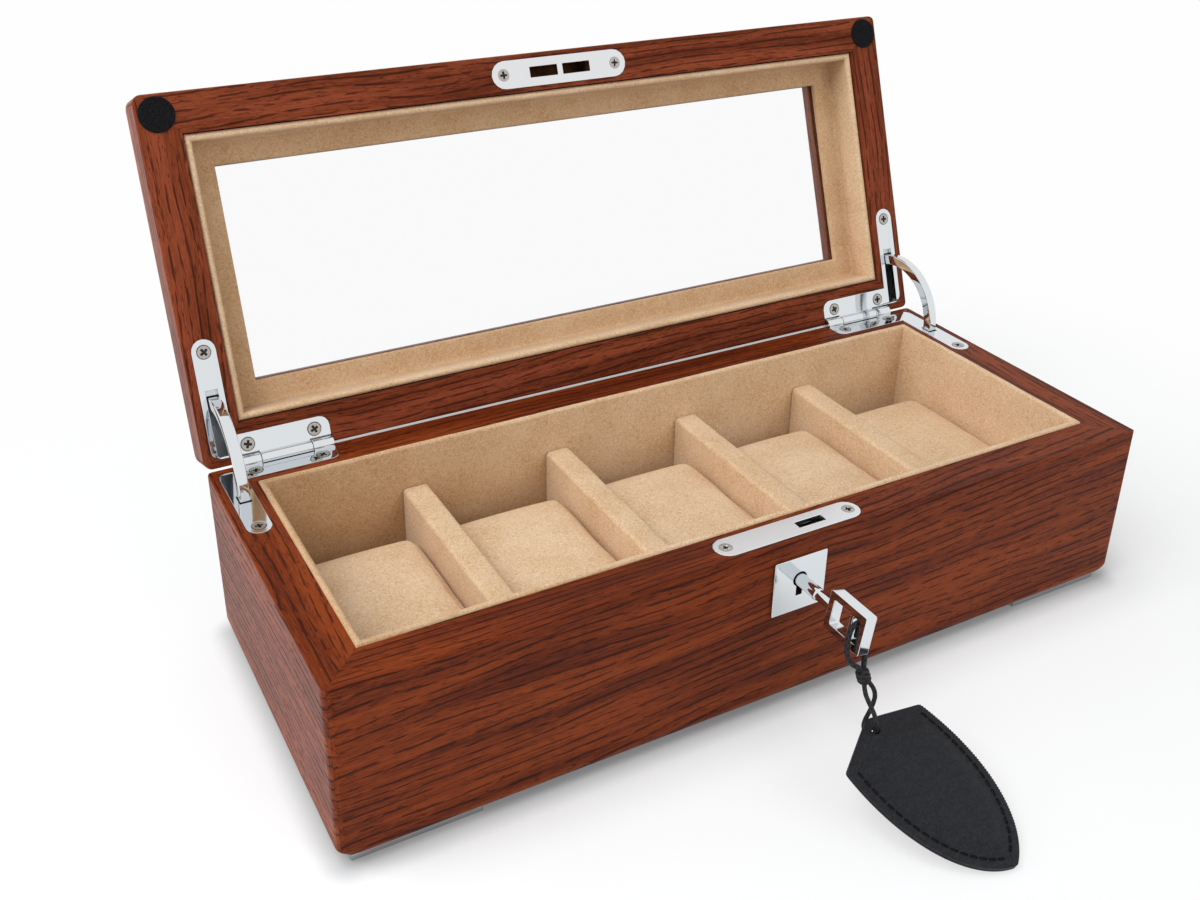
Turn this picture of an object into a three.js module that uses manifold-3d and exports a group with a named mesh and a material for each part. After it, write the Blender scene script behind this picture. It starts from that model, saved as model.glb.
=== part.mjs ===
// Watch display case: a hinged wooden box with a glazed lid, watch cushions in compartments, a lock and a key.
// Millimetres, +Z up, +X to the right, -Y to the front. The origin is the middle of the bottom panel's underside.
import * as THREE from 'three';
import { mergeVertices } from 'three/addons/utils/BufferGeometryUtils.js';
import Module from 'manifold-3d';

const wasm = await Module();
wasm.setup();
const radians = THREE.MathUtils.degToRad;

// Box
const boxWidth = 340;
const boxDepth = 140;
const baseHeight = 69.5;
const lidHeight = 26;
const wallThickness = 15.5;
const baseEdgeRound = 5.5;
const lidEdgeRound = 9;
const cornerRound = 3.5;
const rimRound = 0.8;
const lidGap = 0.8;
const lidOpenDegrees = 109.5;

// Clearances
const mitreGap = 0.05;
const flushGap = 0.1;
const seatGap = 0.3;
const cutOverrun = 2;

// Bottom panel and feet
const panelThickness = 5;
const panelLap = 3.5;
const footLength = 46;
const footWidth = 8.2;
const footThickness = 2.5;
const footEndInset = 4.5;
const footFaceInset = 3.4;

// Suede linings and dividers of the base
const liningThickness = 2.5;
const liningRise = 1;
const floorLiningThickness = 2;
const compartmentCount = 5;
const dividerThickness = 10.5;
const dividerDrop = 17.2;
const dividerRound = 1.5;

// Watch cushions
const cushionSideGap = 1.2;
const strapRoom = 11;
const cushionHeight = 32.5;
const cushionSideRound = 3.6;
const cushionEndRound = 9;
const cushionCrown = 2.2;
const cushionDraw = 1.1;
const cushionSteps = [8, 12, 6];

// Window of the lid
const lipThickness = 5;
const lipWidth = 12.5;
const glassThickness = 3;
const ledgeThickness = 2;
const lidLiningDrop = 0.8;

// Hinges with stop arms, measured inwards from the side face and forwards from the hinge axis
const axisBehindFace = 0;
const knuckleRadius = 2.7;
const pinRadius = 1.05;
const pinClearance = 0.08;
const knuckleGap = 0.15;
const outerKnuckleLength = 8.4;
const leafThickness = 2;
const leafCornerRound = 4;
const legCentre = 7.9;
const legWidth = 9.2;
const legReach = 49.2;
const backLegEnd = 49.5;
const backLegReach = 11.2;
const screwLine = 6.6;
const nearScrewPlace = 17.3;
const farScrewPlace = 43.3;
const legScrewReach = 44.2;
const armRadius = 27;
const armDepth = 4.6;
const armWidth = 4;
const armHoldDegrees = 6;
const slotClearance = 0.3;
const lidSlotStart = 4;
const lidSlotEnd = 29.6;
const armPocketClearance = 0.6;
const armPocketSpareDegrees = 2;

// Countersunk screws
const screwHeadRadius = 2.7;
const screwHeadRim = 0.25;
const screwShankRadius = 1.3;
const screwLength = 11;
const screwClearance = 0.15;
const crossLength = 3;
const crossWidth = 0.8;
const crossDepth = 1;

// Lock, worked from the middle of its face plate at the rim
const lockOffset = 2;
const lockInset = 8;
const plateLength = 62;
const plateWidth = 10.6;
const plateThickness = 2;
const plateProud = 0.3;
const plateScrewSpan = 53;
const caseWidth = 38;
const caseDepth = 8.8;
const caseDrop = 24.5;
const caseWall = 0.8;
const boltSlotStart = 3.75;
const boltSlotEnd = 15.3;
const boltSlotWidth = 3.5;
const hookPivotDrop = 5.5;
const hookInnerRadius = 8.9;
const hookOuterRadius = 13.2;
const hookThickness = 2.8;
const hookHubRadius = 2.6;
const hookPivotRadius = 1.3;
const hookNoseDegrees = 8;
const hookTailDegrees = -92;
const hookSpokeDegrees = 14;

// Strike plate in the lid
const strikeLength = 62.5;
const strikeWidth = 11.6;
const strikeScrewSpan = 52;
const strikeBarHalf = 1.3;
const strikeSlotLength = 12.6;
const strikeSlotWidth = 4.2;
const strikePocketDepth = 11;

// Felt bumpers on the lid's front corners
const bumperRadius = 6.6;
const bumperThickness = 0.6;

// Escutcheon and key
const keyDrop = 15.8;
const escutcheonDrop = 17.8;
const escutcheonSize = 22.6;
const escutcheonThickness = 1.2;
const escutcheonRound = 0.7;
const keyholeRadius = 2.9;
const keyholeSlotHalf = 1.3;
const keyholeSlotReach = 6.9;
const woodKeyholeSpare = 0.45;
const shankRadius = 2.42;
const shankOut = 11.7;
const neckRadius = 2;
const neckOut = 19.3;
const bowLength = 18.8;
const bowHeight = 14.9;
const bowThickness = 4.55;
const bowRound = 0.7;
const bowTurnDegrees = 8.76;
const windowStart = 2.7;
const windowLength = 8.6;
const windowHeight = 9.5;
const innerBar = 1.35;
const cordSlotLength = 3.35;
const cordSlotHeight = 9;
const cordSlotRound = 0.4;
const bitHalf = 1;
const bitReach = 6.2;
const bitThickness = 1.5;

// Leather fob that hangs from the key with its tip on the table, and its waxed cord
const fobApex = [1.5, -113.2, 23.4];
const fobYawDegrees = 18.1;
const fobPitchDegrees = 21.7;
const fobLength = 63.6;
const fobShoulderHalf = 22.4;
const fobShoulderDrop = 8.1;
const fobBellyReach = 26.7;
const fobBellyDrop = 34;
const fobFlankReach = 18;
const fobFlankDrop = 57;
const fobThickness = 2.6;
const fobEdgeRound = 0.5;
const fobHoleDrop = 4.8;
const fobHoleShift = -1;
const fobHoleRadius = 1.6;
const upperCordRadius = 0.95;
const lowerCordRadius = 0.8;
const knotCentre = [2.88, -107.5, 36.86];
const knotLeanShares = [-0.157, 0.227, 0.962];
const knotRadius = 2.5;
const knotHalfHeight = 2.9;
const upperCordRoute = [
  [1.15, -106.85, 40.2], [-1.26, -105.9, 42.3], [-2.5, -105, 44.5], [-2.8, -104.3, 47], [-2.46, -103.8, 50.4],
  [-1.95, -103.65, 53.3], [-1.12, -103.6, 55.4], [0.43, -103.6, 56.65], [2.26, -103.6, 56.75], [3.99, -103.6, 56.1],
  [5.1, -103.6, 54.5], [5.26, -103.75, 52.2], [4.8, -104.1, 49.3], [4.35, -104.7, 46.4], [4.45, -105.1, 44.1],
  [4.15, -105.7, 41.9], [3.55, -106.4, 40.4],
];
const lowerCordRoute = [
  [2.25, -109.4, 33.6], [1.63, -111.2, 31.9], [1.6, -112.6, 30.6], [1.96, -114, 28.7], [2.07, -115.4, 27.3],
  [1.97, -116.9, 25.7], [1.75, -117.8, 24.3], [1.9, -117.9, 22.6], [1.8, -117.5, 20.6], [1.65, -116.9, 18.7],
  [1.6, -115.9, 17.2], [1.7, -114.3, 16.6], [1.9, -112.6, 17.2], [2.3, -111.3, 18.6], [2.9, -111, 20.4],
  [3.84, -111, 22.4], [5.04, -110.9, 24.7], [6.09, -110.6, 26.85], [6.7, -110.2, 29.1], [6.18, -109.6, 31.7],
  [4.95, -108.65, 34],
];

// Steps of round shapes
const roundSteps = 4;
const edgeSteps = 14;
const rodSteps = 24;
const screwSteps = 16;
const armStepDegrees = 7;
const cordSides = 8;
const knotSteps = [10, 8];
const weldDistance = 1e-4;

// Worked from the sizes above
const halfWidth = boxWidth / 2;
const halfDepth = boxDepth / 2;
const rimOffset = lidGap / 2;
const hingeAxis = new THREE.Vector3(0, halfDepth + axisBehindFace, baseHeight + rimOffset);
const lidCentre = new THREE.Vector3(0, -hingeAxis.y, rimOffset);
const lockPlace = new THREE.Vector3(lockOffset, lockInset - halfDepth, baseHeight);
const strikePlace = new THREE.Vector3(lockOffset, lockPlace.y - hingeAxis.y, rimOffset);
const keyPlace = new THREE.Vector3(lockOffset, -halfDepth, baseHeight - keyDrop);
const insideHalfWidth = halfWidth - wallThickness - liningThickness;
const insideHalfDepth = halfDepth - wallThickness - liningThickness;
const insideFloor = panelThickness + seatGap + floorLiningThickness;
const compartmentPitch = (2 * insideHalfWidth + dividerThickness) / compartmentCount;
const barrelStart = legCentre + legWidth / 2;
const leafBackEdge = knuckleRadius + 2 * knuckleGap + flushGap;
const lidKnuckle = [barrelStart + outerKnuckleLength + knuckleGap, backLegEnd - outerKnuckleLength - knuckleGap];
const armInnerRadius = armRadius - armDepth;
const origin = new THREE.Vector3();

// Closed solid with welded corners, from any closed geometry
function toSolid(geometry) {
  const bare = new THREE.BufferGeometry();
  bare.setAttribute('position', geometry.getAttribute('position'));
  bare.setIndex(geometry.getIndex());
  const welded = mergeVertices(bare, weldDistance);
  const index = welded.getIndex().array;
  const faces = [];
  for (let i = 0; i < index.length; i += 3) {
    const [a, b, c] = index.slice(i, i + 3);
    if (a !== b && b !== c && c !== a) faces.push(a, b, c);
  }
  return new wasm.Manifold(new wasm.Mesh({
    numProp: 3,
    vertProperties: new Float32Array(welded.getAttribute('position').array),
    triVerts: new Uint32Array(faces),
  }));
}

// Named mesh of a solid, with a finish of its own
function toMesh(name, solid, finish) {
  const { vertProperties, triVerts } = solid.getMesh();
  const geometry = new THREE.BufferGeometry();
  geometry.setAttribute('position', new THREE.BufferAttribute(Float32Array.from(vertProperties), 3));
  geometry.setIndex(new THREE.BufferAttribute(Uint32Array.from(triVerts), 1));
  geometry.computeVertexNormals();
  const mesh = new THREE.Mesh(geometry, new THREE.MeshStandardMaterial(finish));
  mesh.name = name;
  return mesh;
}

// Finishes
const wood = { color: 0x7a3320, roughness: 0.42, metalness: 0 };
const suede = { color: 0xc9a57a, roughness: 0.95, metalness: 0 };
const chrome = { color: 0xd4d7da, roughness: 0.08, metalness: 1 };
const satinSteel = { color: 0xc9cdd0, roughness: 0.3, metalness: 1 };
const darkSteel = { color: 0x8b8880, roughness: 0.4, metalness: 1 };
const clearGlass = { color: 0xf2f6f6, roughness: 0.02, metalness: 0, transparent: true, opacity: 0.25 };
const blackFelt = { color: 0x161616, roughness: 1, metalness: 0 };
const blackLeather = { color: 0x1c1d20, roughness: 0.6, metalness: 0 };
const blackCord = { color: 0x101010, roughness: 0.7, metalness: 0 };

// Points of an arc, both ends included
function arc(centreX, centreY, radius, fromDegrees, toDegrees, steps = roundSteps) {
  const points = [];
  for (let i = 0; i <= steps; i += 1) {
    const angle = radians(THREE.MathUtils.lerp(fromDegrees, toDegrees, i / steps));
    points.push([centreX + radius * Math.cos(angle), centreY + radius * Math.sin(angle)]);
  }
  return points;
}

// Outline of a rectangle with round corners
function roundedRectangle(x0, y0, x1, y1, radius) {
  return [
    ...arc(x1 - radius, y0 + radius, radius, -90, 0),
    ...arc(x1 - radius, y1 - radius, radius, 0, 90),
    ...arc(x0 + radius, y1 - radius, radius, 90, 180),
    ...arc(x0 + radius, y0 + radius, radius, 180, 270),
  ];
}

// Outline of a strip with half-round ends, along the first axis and centred
function strip(length, width) {
  const reach = (length - width) / 2;
  const steps = 2 * roundSteps;
  return [...arc(reach, 0, width / 2, -90, 90, steps), ...arc(-reach, 0, width / 2, 90, 270, steps)];
}

// Outline of a ring's sector; both radii from the same centre
function sector(innerRadius, outerRadius, fromDegrees, toDegrees) {
  const steps = Math.ceil(Math.abs(toDegrees - fromDegrees) / armStepDegrees);
  return [
    ...arc(0, 0, outerRadius, fromDegrees, toDegrees, steps),
    ...arc(0, 0, innerRadius, toDegrees, fromDegrees, steps),
  ];
}

// Shapes placed from one point: boxes, rods, prisms and turned pieces
function shapesAt(place) {
  const put = (geometry) => toSolid(geometry.translate(place.x, place.y, place.z));
  const bases = {
    x: new THREE.Matrix4().makeBasis(new THREE.Vector3(0, 1, 0), new THREE.Vector3(0, 0, 1), new THREE.Vector3(1, 0, 0)),
    y: new THREE.Matrix4().makeBasis(new THREE.Vector3(1, 0, 0), new THREE.Vector3(0, 0, 1), new THREE.Vector3(0, -1, 0)),
    z: new THREE.Matrix4(),
  };
  return {
    block(low, high) {
      const box = new THREE.Box3(new THREE.Vector3(...low), new THREE.Vector3(...high));
      const size = box.getSize(new THREE.Vector3());
      const middle = box.getCenter(new THREE.Vector3());
      return put(new THREE.BoxGeometry(size.x, size.y, size.z).translate(middle.x, middle.y, middle.z));
    },
    rod(radius, from, to, steps = rodSteps) {
      const start = new THREE.Vector3(...from);
      const along = new THREE.Vector3(...to).sub(start);
      const geometry = new THREE.CylinderGeometry(radius, radius, along.length(), steps);
      const turn = new THREE.Quaternion().setFromUnitVectors(new THREE.Vector3(0, 1, 0), along.clone().normalize());
      const middle = start.addScaledVector(along, 1 / 2);
      return put(geometry.applyQuaternion(turn).translate(middle.x, middle.y, middle.z));
    },
    prism(outline, axis, from, to) {
      const shape = new THREE.Shape(outline.map(([a, b]) => new THREE.Vector2(a, b)));
      const geometry = new THREE.ExtrudeGeometry(shape, { depth: to - from, bevelEnabled: false });
      geometry.applyMatrix4(bases[axis]);
      const shift = { x: [from, 0, 0], y: [0, to, 0], z: [0, 0, from] }[axis];
      return put(geometry.translate(...shift));
    },
    turned(profile, steps, axis) {
      const geometry = new THREE.LatheGeometry(profile.map(([r, h]) => new THREE.Vector2(r, h)), steps);
      const turn = { up: radians(90), down: radians(-90), back: 0 }[axis];
      return put(geometry.rotateX(turn));
    },
  };
}

// Rail along X with mitred ends: the profile is depth behind the outer face and height, anticlockwise
function mitredRail(length, profile) {
  const positions = [];
  for (const end of [-1, 1]) {
    for (const [depth, height] of profile) positions.push(end * (length / 2 - depth - mitreGap), depth, height);
  }
  const count = profile.length;
  const faces = [];
  for (let i = 0; i < count; i += 1) {
    const next = (i + 1) % count;
    faces.push(i, next, next + count, i, next + count, i + count);
  }
  for (const [a, b, c] of THREE.ShapeUtils.triangulateShape(profile.map(([d, h]) => new THREE.Vector2(d, h)), [])) {
    faces.push(a + count, b + count, c + count, c, b, a);
  }
  const geometry = new THREE.BufferGeometry();
  geometry.setAttribute('position', new THREE.Float32BufferAttribute(positions, 3));
  geometry.setIndex(faces);
  return geometry;
}

// Four mitred rails round the box, with the upright corners rounded
function mitredFrame(profile, place, height) {
  const envelope = shapesAt(place).prism(
    roundedRectangle(-halfWidth, -halfDepth, halfWidth, halfDepth, cornerRound), 'z', -cutOverrun, height + cutOverrun);
  const sides = {
    front: [boxWidth, 0, [0, -halfDepth]],
    right: [boxDepth, 90, [halfWidth, 0]],
    back: [boxWidth, 180, [0, halfDepth]],
    left: [boxDepth, -90, [-halfWidth, 0]],
  };
  const frame = {};
  for (const [side, [length, turn, [x, y]]] of Object.entries(sides)) {
    const rail = mitredRail(length, profile).rotateZ(radians(turn)).translate(place.x + x, place.y + y, place.z);
    frame[side] = toSolid(rail).intersect(envelope);
  }
  return frame;
}

// Hinge leaf's L outline: u inwards from the side face, v forwards from the hinge axis
function leafOutline(side, spare) {
  const [u0, u1] = [legCentre - legWidth / 2 - spare, legCentre + legWidth / 2 + spare];
  const [v0, v1] = [leafBackEdge - spare, backLegReach + spare];
  const tipRadius = legWidth / 2 + spare;
  const tipCentre = legReach - legWidth / 2;
  const outline = [
    [backLegEnd + spare, v0],
    ...arc(backLegEnd + spare - leafCornerRound, v1 - leafCornerRound, leafCornerRound, 0, 90),
    [u1, v1],
    ...arc(legCentre, tipCentre, tipRadius, 0, 180, 2 * roundSteps),
    ...arc(u0 + leafCornerRound, v0 + leafCornerRound, leafCornerRound, 180, 270),
  ];
  return outline.map(([u, v]) => [side * (halfWidth - u), -v]);
}

// Corner-to-corner box in the hinge's u, v and height
function hingeBlock(shapes, side, [u0, v0, z0], [u1, v1, z1]) {
  const [x0, x1] = [side * (halfWidth - u0), side * (halfWidth - u1)];
  return shapes.block([Math.min(x0, x1), -v1, z0], [Math.max(x0, x1), -v0, z1]);
}

// Countersunk screw profile, head at zero, with a clearance for the holes it passes
function screwProfile(spare, length) {
  const coneHeight = screwHeadRadius - screwShankRadius;
  const top = spare ? cutOverrun : 0;
  return [
    [0, -length],
    [screwShankRadius + spare, screwShankRadius - length],
    [screwShankRadius + spare, -screwHeadRim - coneHeight - spare / 2],
    [screwHeadRadius + spare, -screwHeadRim - spare / 2],
    [screwHeadRadius + spare, top],
    [0, top],
  ];
}

// Where the three screws of a leaf sit, in x and y from the hinge axis
const leafScrewPlaces = (side) => [
  [nearScrewPlace, screwLine],
  [farScrewPlace, screwLine],
  [legCentre, legScrewReach],
].map(([u, v]) => [side * (halfWidth - u), -v]);

// Screw or its hole; up is 1 where the head faces up
function screw(place, x, y, z, up, spare = 0) {
  const head = new THREE.Vector3(place.x + x, place.y + y, place.z + z);
  const shapes = shapesAt(head);
  const length = screwLength + (spare ? cutOverrun : 0);
  const body = shapes.turned(screwProfile(spare, length), screwSteps, up > 0 ? 'up' : 'down');
  if (spare) return body;
  const [reach, half] = [crossLength / 2, crossWidth / 2];
  const [low, high] = up > 0 ? [-crossDepth, cutOverrun] : [-cutOverrun, crossDepth];
  return body
    .subtract(shapes.block([-reach, -half, low], [reach, half, high]))
    .subtract(shapes.block([-half, -reach, low], [half, reach, high]));
}

// What the leaf, its barrel, its screws and the arm need cut from the wood; up is 1 in the lid and -1 in the base
function hingeCuts(place, side, up) {
  const shapes = shapesAt(place);
  const [face, bottom] = [up * rimOffset, up * (rimOffset + leafThickness + flushGap)];
  const [low, high] = up > 0 ? [face - cutOverrun, bottom] : [bottom, face + cutOverrun];
  const ends = [barrelStart - seatGap, backLegEnd + seatGap].map((u) => side * (halfWidth - u));
  const cuts = [
    shapes.prism(leafOutline(side, flushGap), 'z', low, high),
    shapes.rod(knuckleRadius + seatGap, [ends[0], 0, 0], [ends[1], 0, 0]),
    hingeBlock(shapes, side, [barrelStart - seatGap, 0, low], [backLegEnd + seatGap, leafBackEdge, high]),
  ];
  for (const [x, y] of leafScrewPlaces(side)) cuts.push(screw(place, x, y, up * rimOffset, -up, screwClearance));
  const swing = lidOpenDegrees / 2 + armHoldDegrees + armPocketSpareDegrees;
  const pocketInner = up > 0 ? lidSlotStart : armInnerRadius - armPocketClearance;
  const pocket = sector(pocketInner, armRadius + armPocketClearance, 0, up * swing).map(([y, z]) => [-y, z]);
  const legMiddle = side * (halfWidth - legCentre);
  const pocketHalf = armWidth / 2 + armPocketClearance;
  cuts.push(shapes.prism(pocket, 'x', legMiddle - pocketHalf, legMiddle + pocketHalf));
  return cuts;
}

// Leaf with its knuckles, countersinks and the slot of the stop arm
function hingeLeaf(place, side, up) {
  const shapes = shapesAt(place);
  const [low, high] = up > 0 ? [rimOffset, rimOffset + leafThickness] : [-rimOffset - leafThickness, -rimOffset];
  let leaf = shapes.prism(leafOutline(side, 0), 'z', low, high);
  const knuckles = up > 0 ? [lidKnuckle] : [
    [barrelStart, barrelStart + outerKnuckleLength],
    [backLegEnd - outerKnuckleLength, backLegEnd],
  ];
  for (const [u0, u1] of knuckles) {
    const ends = [u0, u1].map((u) => side * (halfWidth - u));
    leaf = leaf
      .add(hingeBlock(shapes, side, [u0, 0, low], [u1, leafBackEdge + flushGap, high]))
      .add(shapes.rod(knuckleRadius, [ends[0], 0, 0], [ends[1], 0, 0]));
  }
  const boreRadius = (pinRadius + pinClearance) / Math.cos(Math.PI / rodSteps);
  const boreEnds = [barrelStart - cutOverrun, backLegEnd + cutOverrun].map((u) => side * (halfWidth - u));
  leaf = leaf.subtract(shapes.rod(boreRadius, [boreEnds[0], 0, 0], [boreEnds[1], 0, 0]));
  const slotHalf = armWidth / 2 + slotClearance;
  const [slotStart, slotEnd] = up > 0
    ? [lidSlotStart, lidSlotEnd]
    : [armInnerRadius - 2 * slotClearance, armRadius + 2 * slotClearance];
  leaf = leaf.subtract(hingeBlock(shapes, side,
    [legCentre - slotHalf, slotStart, low - cutOverrun], [legCentre + slotHalf, slotEnd, high + cutOverrun]));
  for (const [x, y] of leafScrewPlaces(side)) {
    leaf = leaf.subtract(screw(place, x, y, up * rimOffset, -up, screwClearance / 2));
  }
  return leaf;
}

// Stop arm: a flat bar bent round the hinge axis, from the base's slot to the lid's
function stopArm(place, side) {
  const outline = sector(armInnerRadius, armRadius, -armHoldDegrees, lidOpenDegrees + armHoldDegrees);
  const middle = side * (halfWidth - legCentre);
  return shapesAt(place).prism(outline.map(([y, z]) => [-y, z]), 'x', middle - armWidth / 2, middle + armWidth / 2);
}

// Round keyhole with its slot, through a wall that lies across Y
function keyhole(y0, y1, spare) {
  const shapes = shapesAt(keyPlace);
  return shapes.rod(keyholeRadius + spare, [0, y0, 0], [0, y1, 0]).add(shapes.block(
    [-keyholeSlotHalf - spare, y0, -keyholeSlotReach - spare], [keyholeSlotHalf + spare, y1, 0]));
}

// Base: four walls, the bottom panel and the feet
function makeBase(scene) {
  const lapStart = wallThickness - panelLap;
  const profile = [
    [baseEdgeRound, 0],
    [lapStart, 0],
    [lapStart, panelThickness],
    [wallThickness, panelThickness],
    [wallThickness, baseHeight],
    ...arc(rimRound, baseHeight - rimRound, rimRound, 90, 180, 2),
    ...arc(baseEdgeRound, baseEdgeRound, baseEdgeRound, 180, 270, edgeSteps).slice(0, -1),
  ];
  const walls = mitredFrame(profile, origin, baseHeight);
  for (const side of [-1, 1]) {
    for (const cut of hingeCuts(hingeAxis, side, -1)) {
      walls.back = walls.back.subtract(cut);
      const wall = side < 0 ? 'left' : 'right';
      walls[wall] = walls[wall].subtract(cut);
    }
  }
  const atLock = shapesAt(lockPlace);
  const [caseHalf, caseY] = [caseWidth / 2 + seatGap, caseDepth / 2 + seatGap];
  walls.front = walls.front
    .subtract(atLock.prism(strip(plateLength + 2 * flushGap, plateWidth + 2 * flushGap), 'z',
      plateProud - plateThickness - flushGap, cutOverrun))
    .subtract(atLock.block([-caseHalf, -caseY, -caseDrop - seatGap], [caseHalf, caseY, cutOverrun]))
    .subtract(keyhole(-cutOverrun, lockInset, woodKeyholeSpare));
  for (const [side, wall] of Object.entries(walls)) scene.add(toMesh(`base_${side}_wall`, wall, wood));

  const [panelX, panelY] = [halfWidth - lapStart - flushGap, halfDepth - lapStart - flushGap];
  const atOrigin = shapesAt(origin);
  const panel = atOrigin.block([-panelX, -panelY, 0], [panelX, panelY, panelThickness]);
  scene.add(toMesh('base_bottom_panel', panel, wood));
  for (const [end, sx] of [['left', -1], ['right', 1]]) {
    for (const [face, sy] of [['front', -1], ['back', 1]]) {
      const [xa, xb] = [sx * (halfWidth - footEndInset), sx * (halfWidth - footEndInset - footLength)];
      const [ya, yb] = [sy * (halfDepth - footFaceInset), sy * (halfDepth - footFaceInset - footWidth)];
      const foot = atOrigin.block(
        [Math.min(xa, xb), Math.min(ya, yb), -footThickness], [Math.max(xa, xb), Math.max(ya, yb), 0]);
      scene.add(toMesh(`foot_${face}_${end}`, foot, satinSteel));
    }
  }
}

// Suede linings of the base, the dividers and the cushions
function makeInside(scene) {
  const shapes = shapesAt(origin);
  const low = panelThickness + seatGap;
  const high = baseHeight + liningRise;
  const half = liningThickness / 2;
  const board = [[half, low], ...arc(0, high - half, half, 0, 180), [-half, low]];
  const [outX, outY] = [halfWidth - wallThickness - seatGap, halfDepth - wallThickness - flushGap];
  const sideReach = outY - liningThickness - seatGap;
  for (const [name, sign] of [['front', -1], ['back', 1]]) {
    const outline = board.map(([y, z]) => [sign * (outY - half) + y, z]);
    scene.add(toMesh(`lining_${name}`, shapes.prism(outline, 'x', -outX, outX), suede));
  }
  for (const [name, sign] of [['left', -1], ['right', 1]]) {
    const outline = board.map(([x, z]) => [sign * (halfWidth - wallThickness - flushGap - half) + x, z]);
    scene.add(toMesh(`lining_${name}`, shapes.prism(outline, 'y', -sideReach, sideReach), suede));
  }
  const [floorX, floorY] = [insideHalfWidth - 2 * seatGap, insideHalfDepth - 2 * seatGap];
  const floor = shapes.block([-floorX, -floorY, low], [floorX, floorY, low + floorLiningThickness]);
  scene.add(toMesh('lining_floor', floor, suede));

  const dividerTop = baseHeight - dividerDrop;
  const dividerReach = insideHalfDepth - 2 * seatGap;
  const [flank, foot] = [dividerThickness / 2, insideFloor + seatGap];
  const shoulder = flank - dividerRound;
  const dividerOutline = [
    [-flank, foot],
    [flank, foot],
    ...arc(shoulder, dividerTop - dividerRound, dividerRound, 0, 90),
    ...arc(-shoulder, dividerTop - dividerRound, dividerRound, 90, 180),
  ];
  for (let i = 1; i < compartmentCount; i += 1) {
    const x = (i - compartmentCount / 2) * compartmentPitch;
    const outline = dividerOutline.map(([a, z]) => [x + a, z]);
    scene.add(toMesh(`divider_${i}`, shapes.prism(outline, 'y', -dividerReach, dividerReach), suede));
  }
  for (let i = 0; i < compartmentCount; i += 1) {
    const x = (i - (compartmentCount - 1) / 2) * compartmentPitch;
    scene.add(toMesh(`watch_cushion_${i + 1}`, watchCushion(x, insideFloor + seatGap), suede));
  }
}

// Watch cushion: a block with round ends, tighter side edges, a crown on top and sides drawn in between its corners
function watchCushion(x, floor) {
  const width = compartmentPitch - dividerThickness - 2 * cushionSideGap;
  const length = 2 * (insideHalfDepth - strapRoom);
  const half = new THREE.Vector3(width / 2, length / 2, cushionHeight / 2);
  const round = new THREE.Vector3(cushionSideRound, cushionEndRound, cushionEndRound);
  const inner = half.clone().sub(round);
  const geometry = new THREE.BoxGeometry(width, length, cushionHeight, ...cushionSteps);
  const places = geometry.getAttribute('position');
  const point = new THREE.Vector3();
  for (let i = 0; i < places.count; i += 1) {
    point.fromBufferAttribute(places, i);
    const core = point.clone().clamp(inner.clone().negate(), inner);
    point.sub(core).divide(round).normalize().multiply(round).add(core);
    const [a, b, c] = [point.x / half.x, point.y / half.y, point.z / half.z];
    const crown = cushionCrown * (1 - a * a) * (1 - b * b) * Math.max(c, 0);
    const draw = 1 - (cushionDraw / half.x) * (1 - b * b) * (1 - c * c);
    const drawEnds = 1 - (cushionDraw / half.y) * (1 - a * a) * (1 - c * c);
    places.setXYZ(i, point.x * draw, point.y * drawEnds, point.z + crown);
  }
  return toSolid(geometry.translate(x, 0, floor + half.z));
}

// Hinges: leaves, pins, stop arms and screws
function makeHinges(scene, lid) {
  for (const [name, side] of [['left', -1], ['right', 1]]) {
    scene.add(toMesh(`hinge_base_leaf_${name}`, hingeLeaf(hingeAxis, side, -1), chrome));
    lid.add(toMesh(`hinge_lid_leaf_${name}`, hingeLeaf(origin, side, 1), chrome));
    const ends = [barrelStart, backLegEnd].map((u) => side * (halfWidth - u));
    const pin = shapesAt(hingeAxis).rod(pinRadius, [ends[0], 0, 0], [ends[1], 0, 0]);
    scene.add(toMesh(`hinge_pin_${name}`, pin, darkSteel));
    scene.add(toMesh(`stop_arm_${name}`, stopArm(hingeAxis, side), chrome));
    leafScrewPlaces(side).forEach(([x, y], i) => {
      scene.add(toMesh(`base_hinge_screw_${name}_${i + 1}`, screw(hingeAxis, x, y, -rimOffset, 1), darkSteel));
      lid.add(toMesh(`lid_hinge_screw_${name}_${i + 1}`, screw(origin, x, y, rimOffset, -1), darkSteel));
    });
  }
}

// Face plate or strike plate with its screw heads marked as shallow rings
function screwedPlate(shapes, length, width, span, low, high, outward) {
  let plate = shapes.prism(strip(length, width), 'z', low, high);
  const [reach, half] = [crossLength / 2, crossWidth / 2];
  const [z0, z1] = outward > 0 ? [high - crossDepth, high + cutOverrun] : [low - cutOverrun, low + crossDepth];
  for (const sign of [-1, 1]) {
    const x = (sign * span) / 2;
    plate = plate
      .subtract(shapes.block([x - reach, -half, z0], [x + reach, half, z1]))
      .subtract(shapes.block([x - half, -reach, z0], [x + half, reach, z1]));
  }
  return plate;
}

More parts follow.
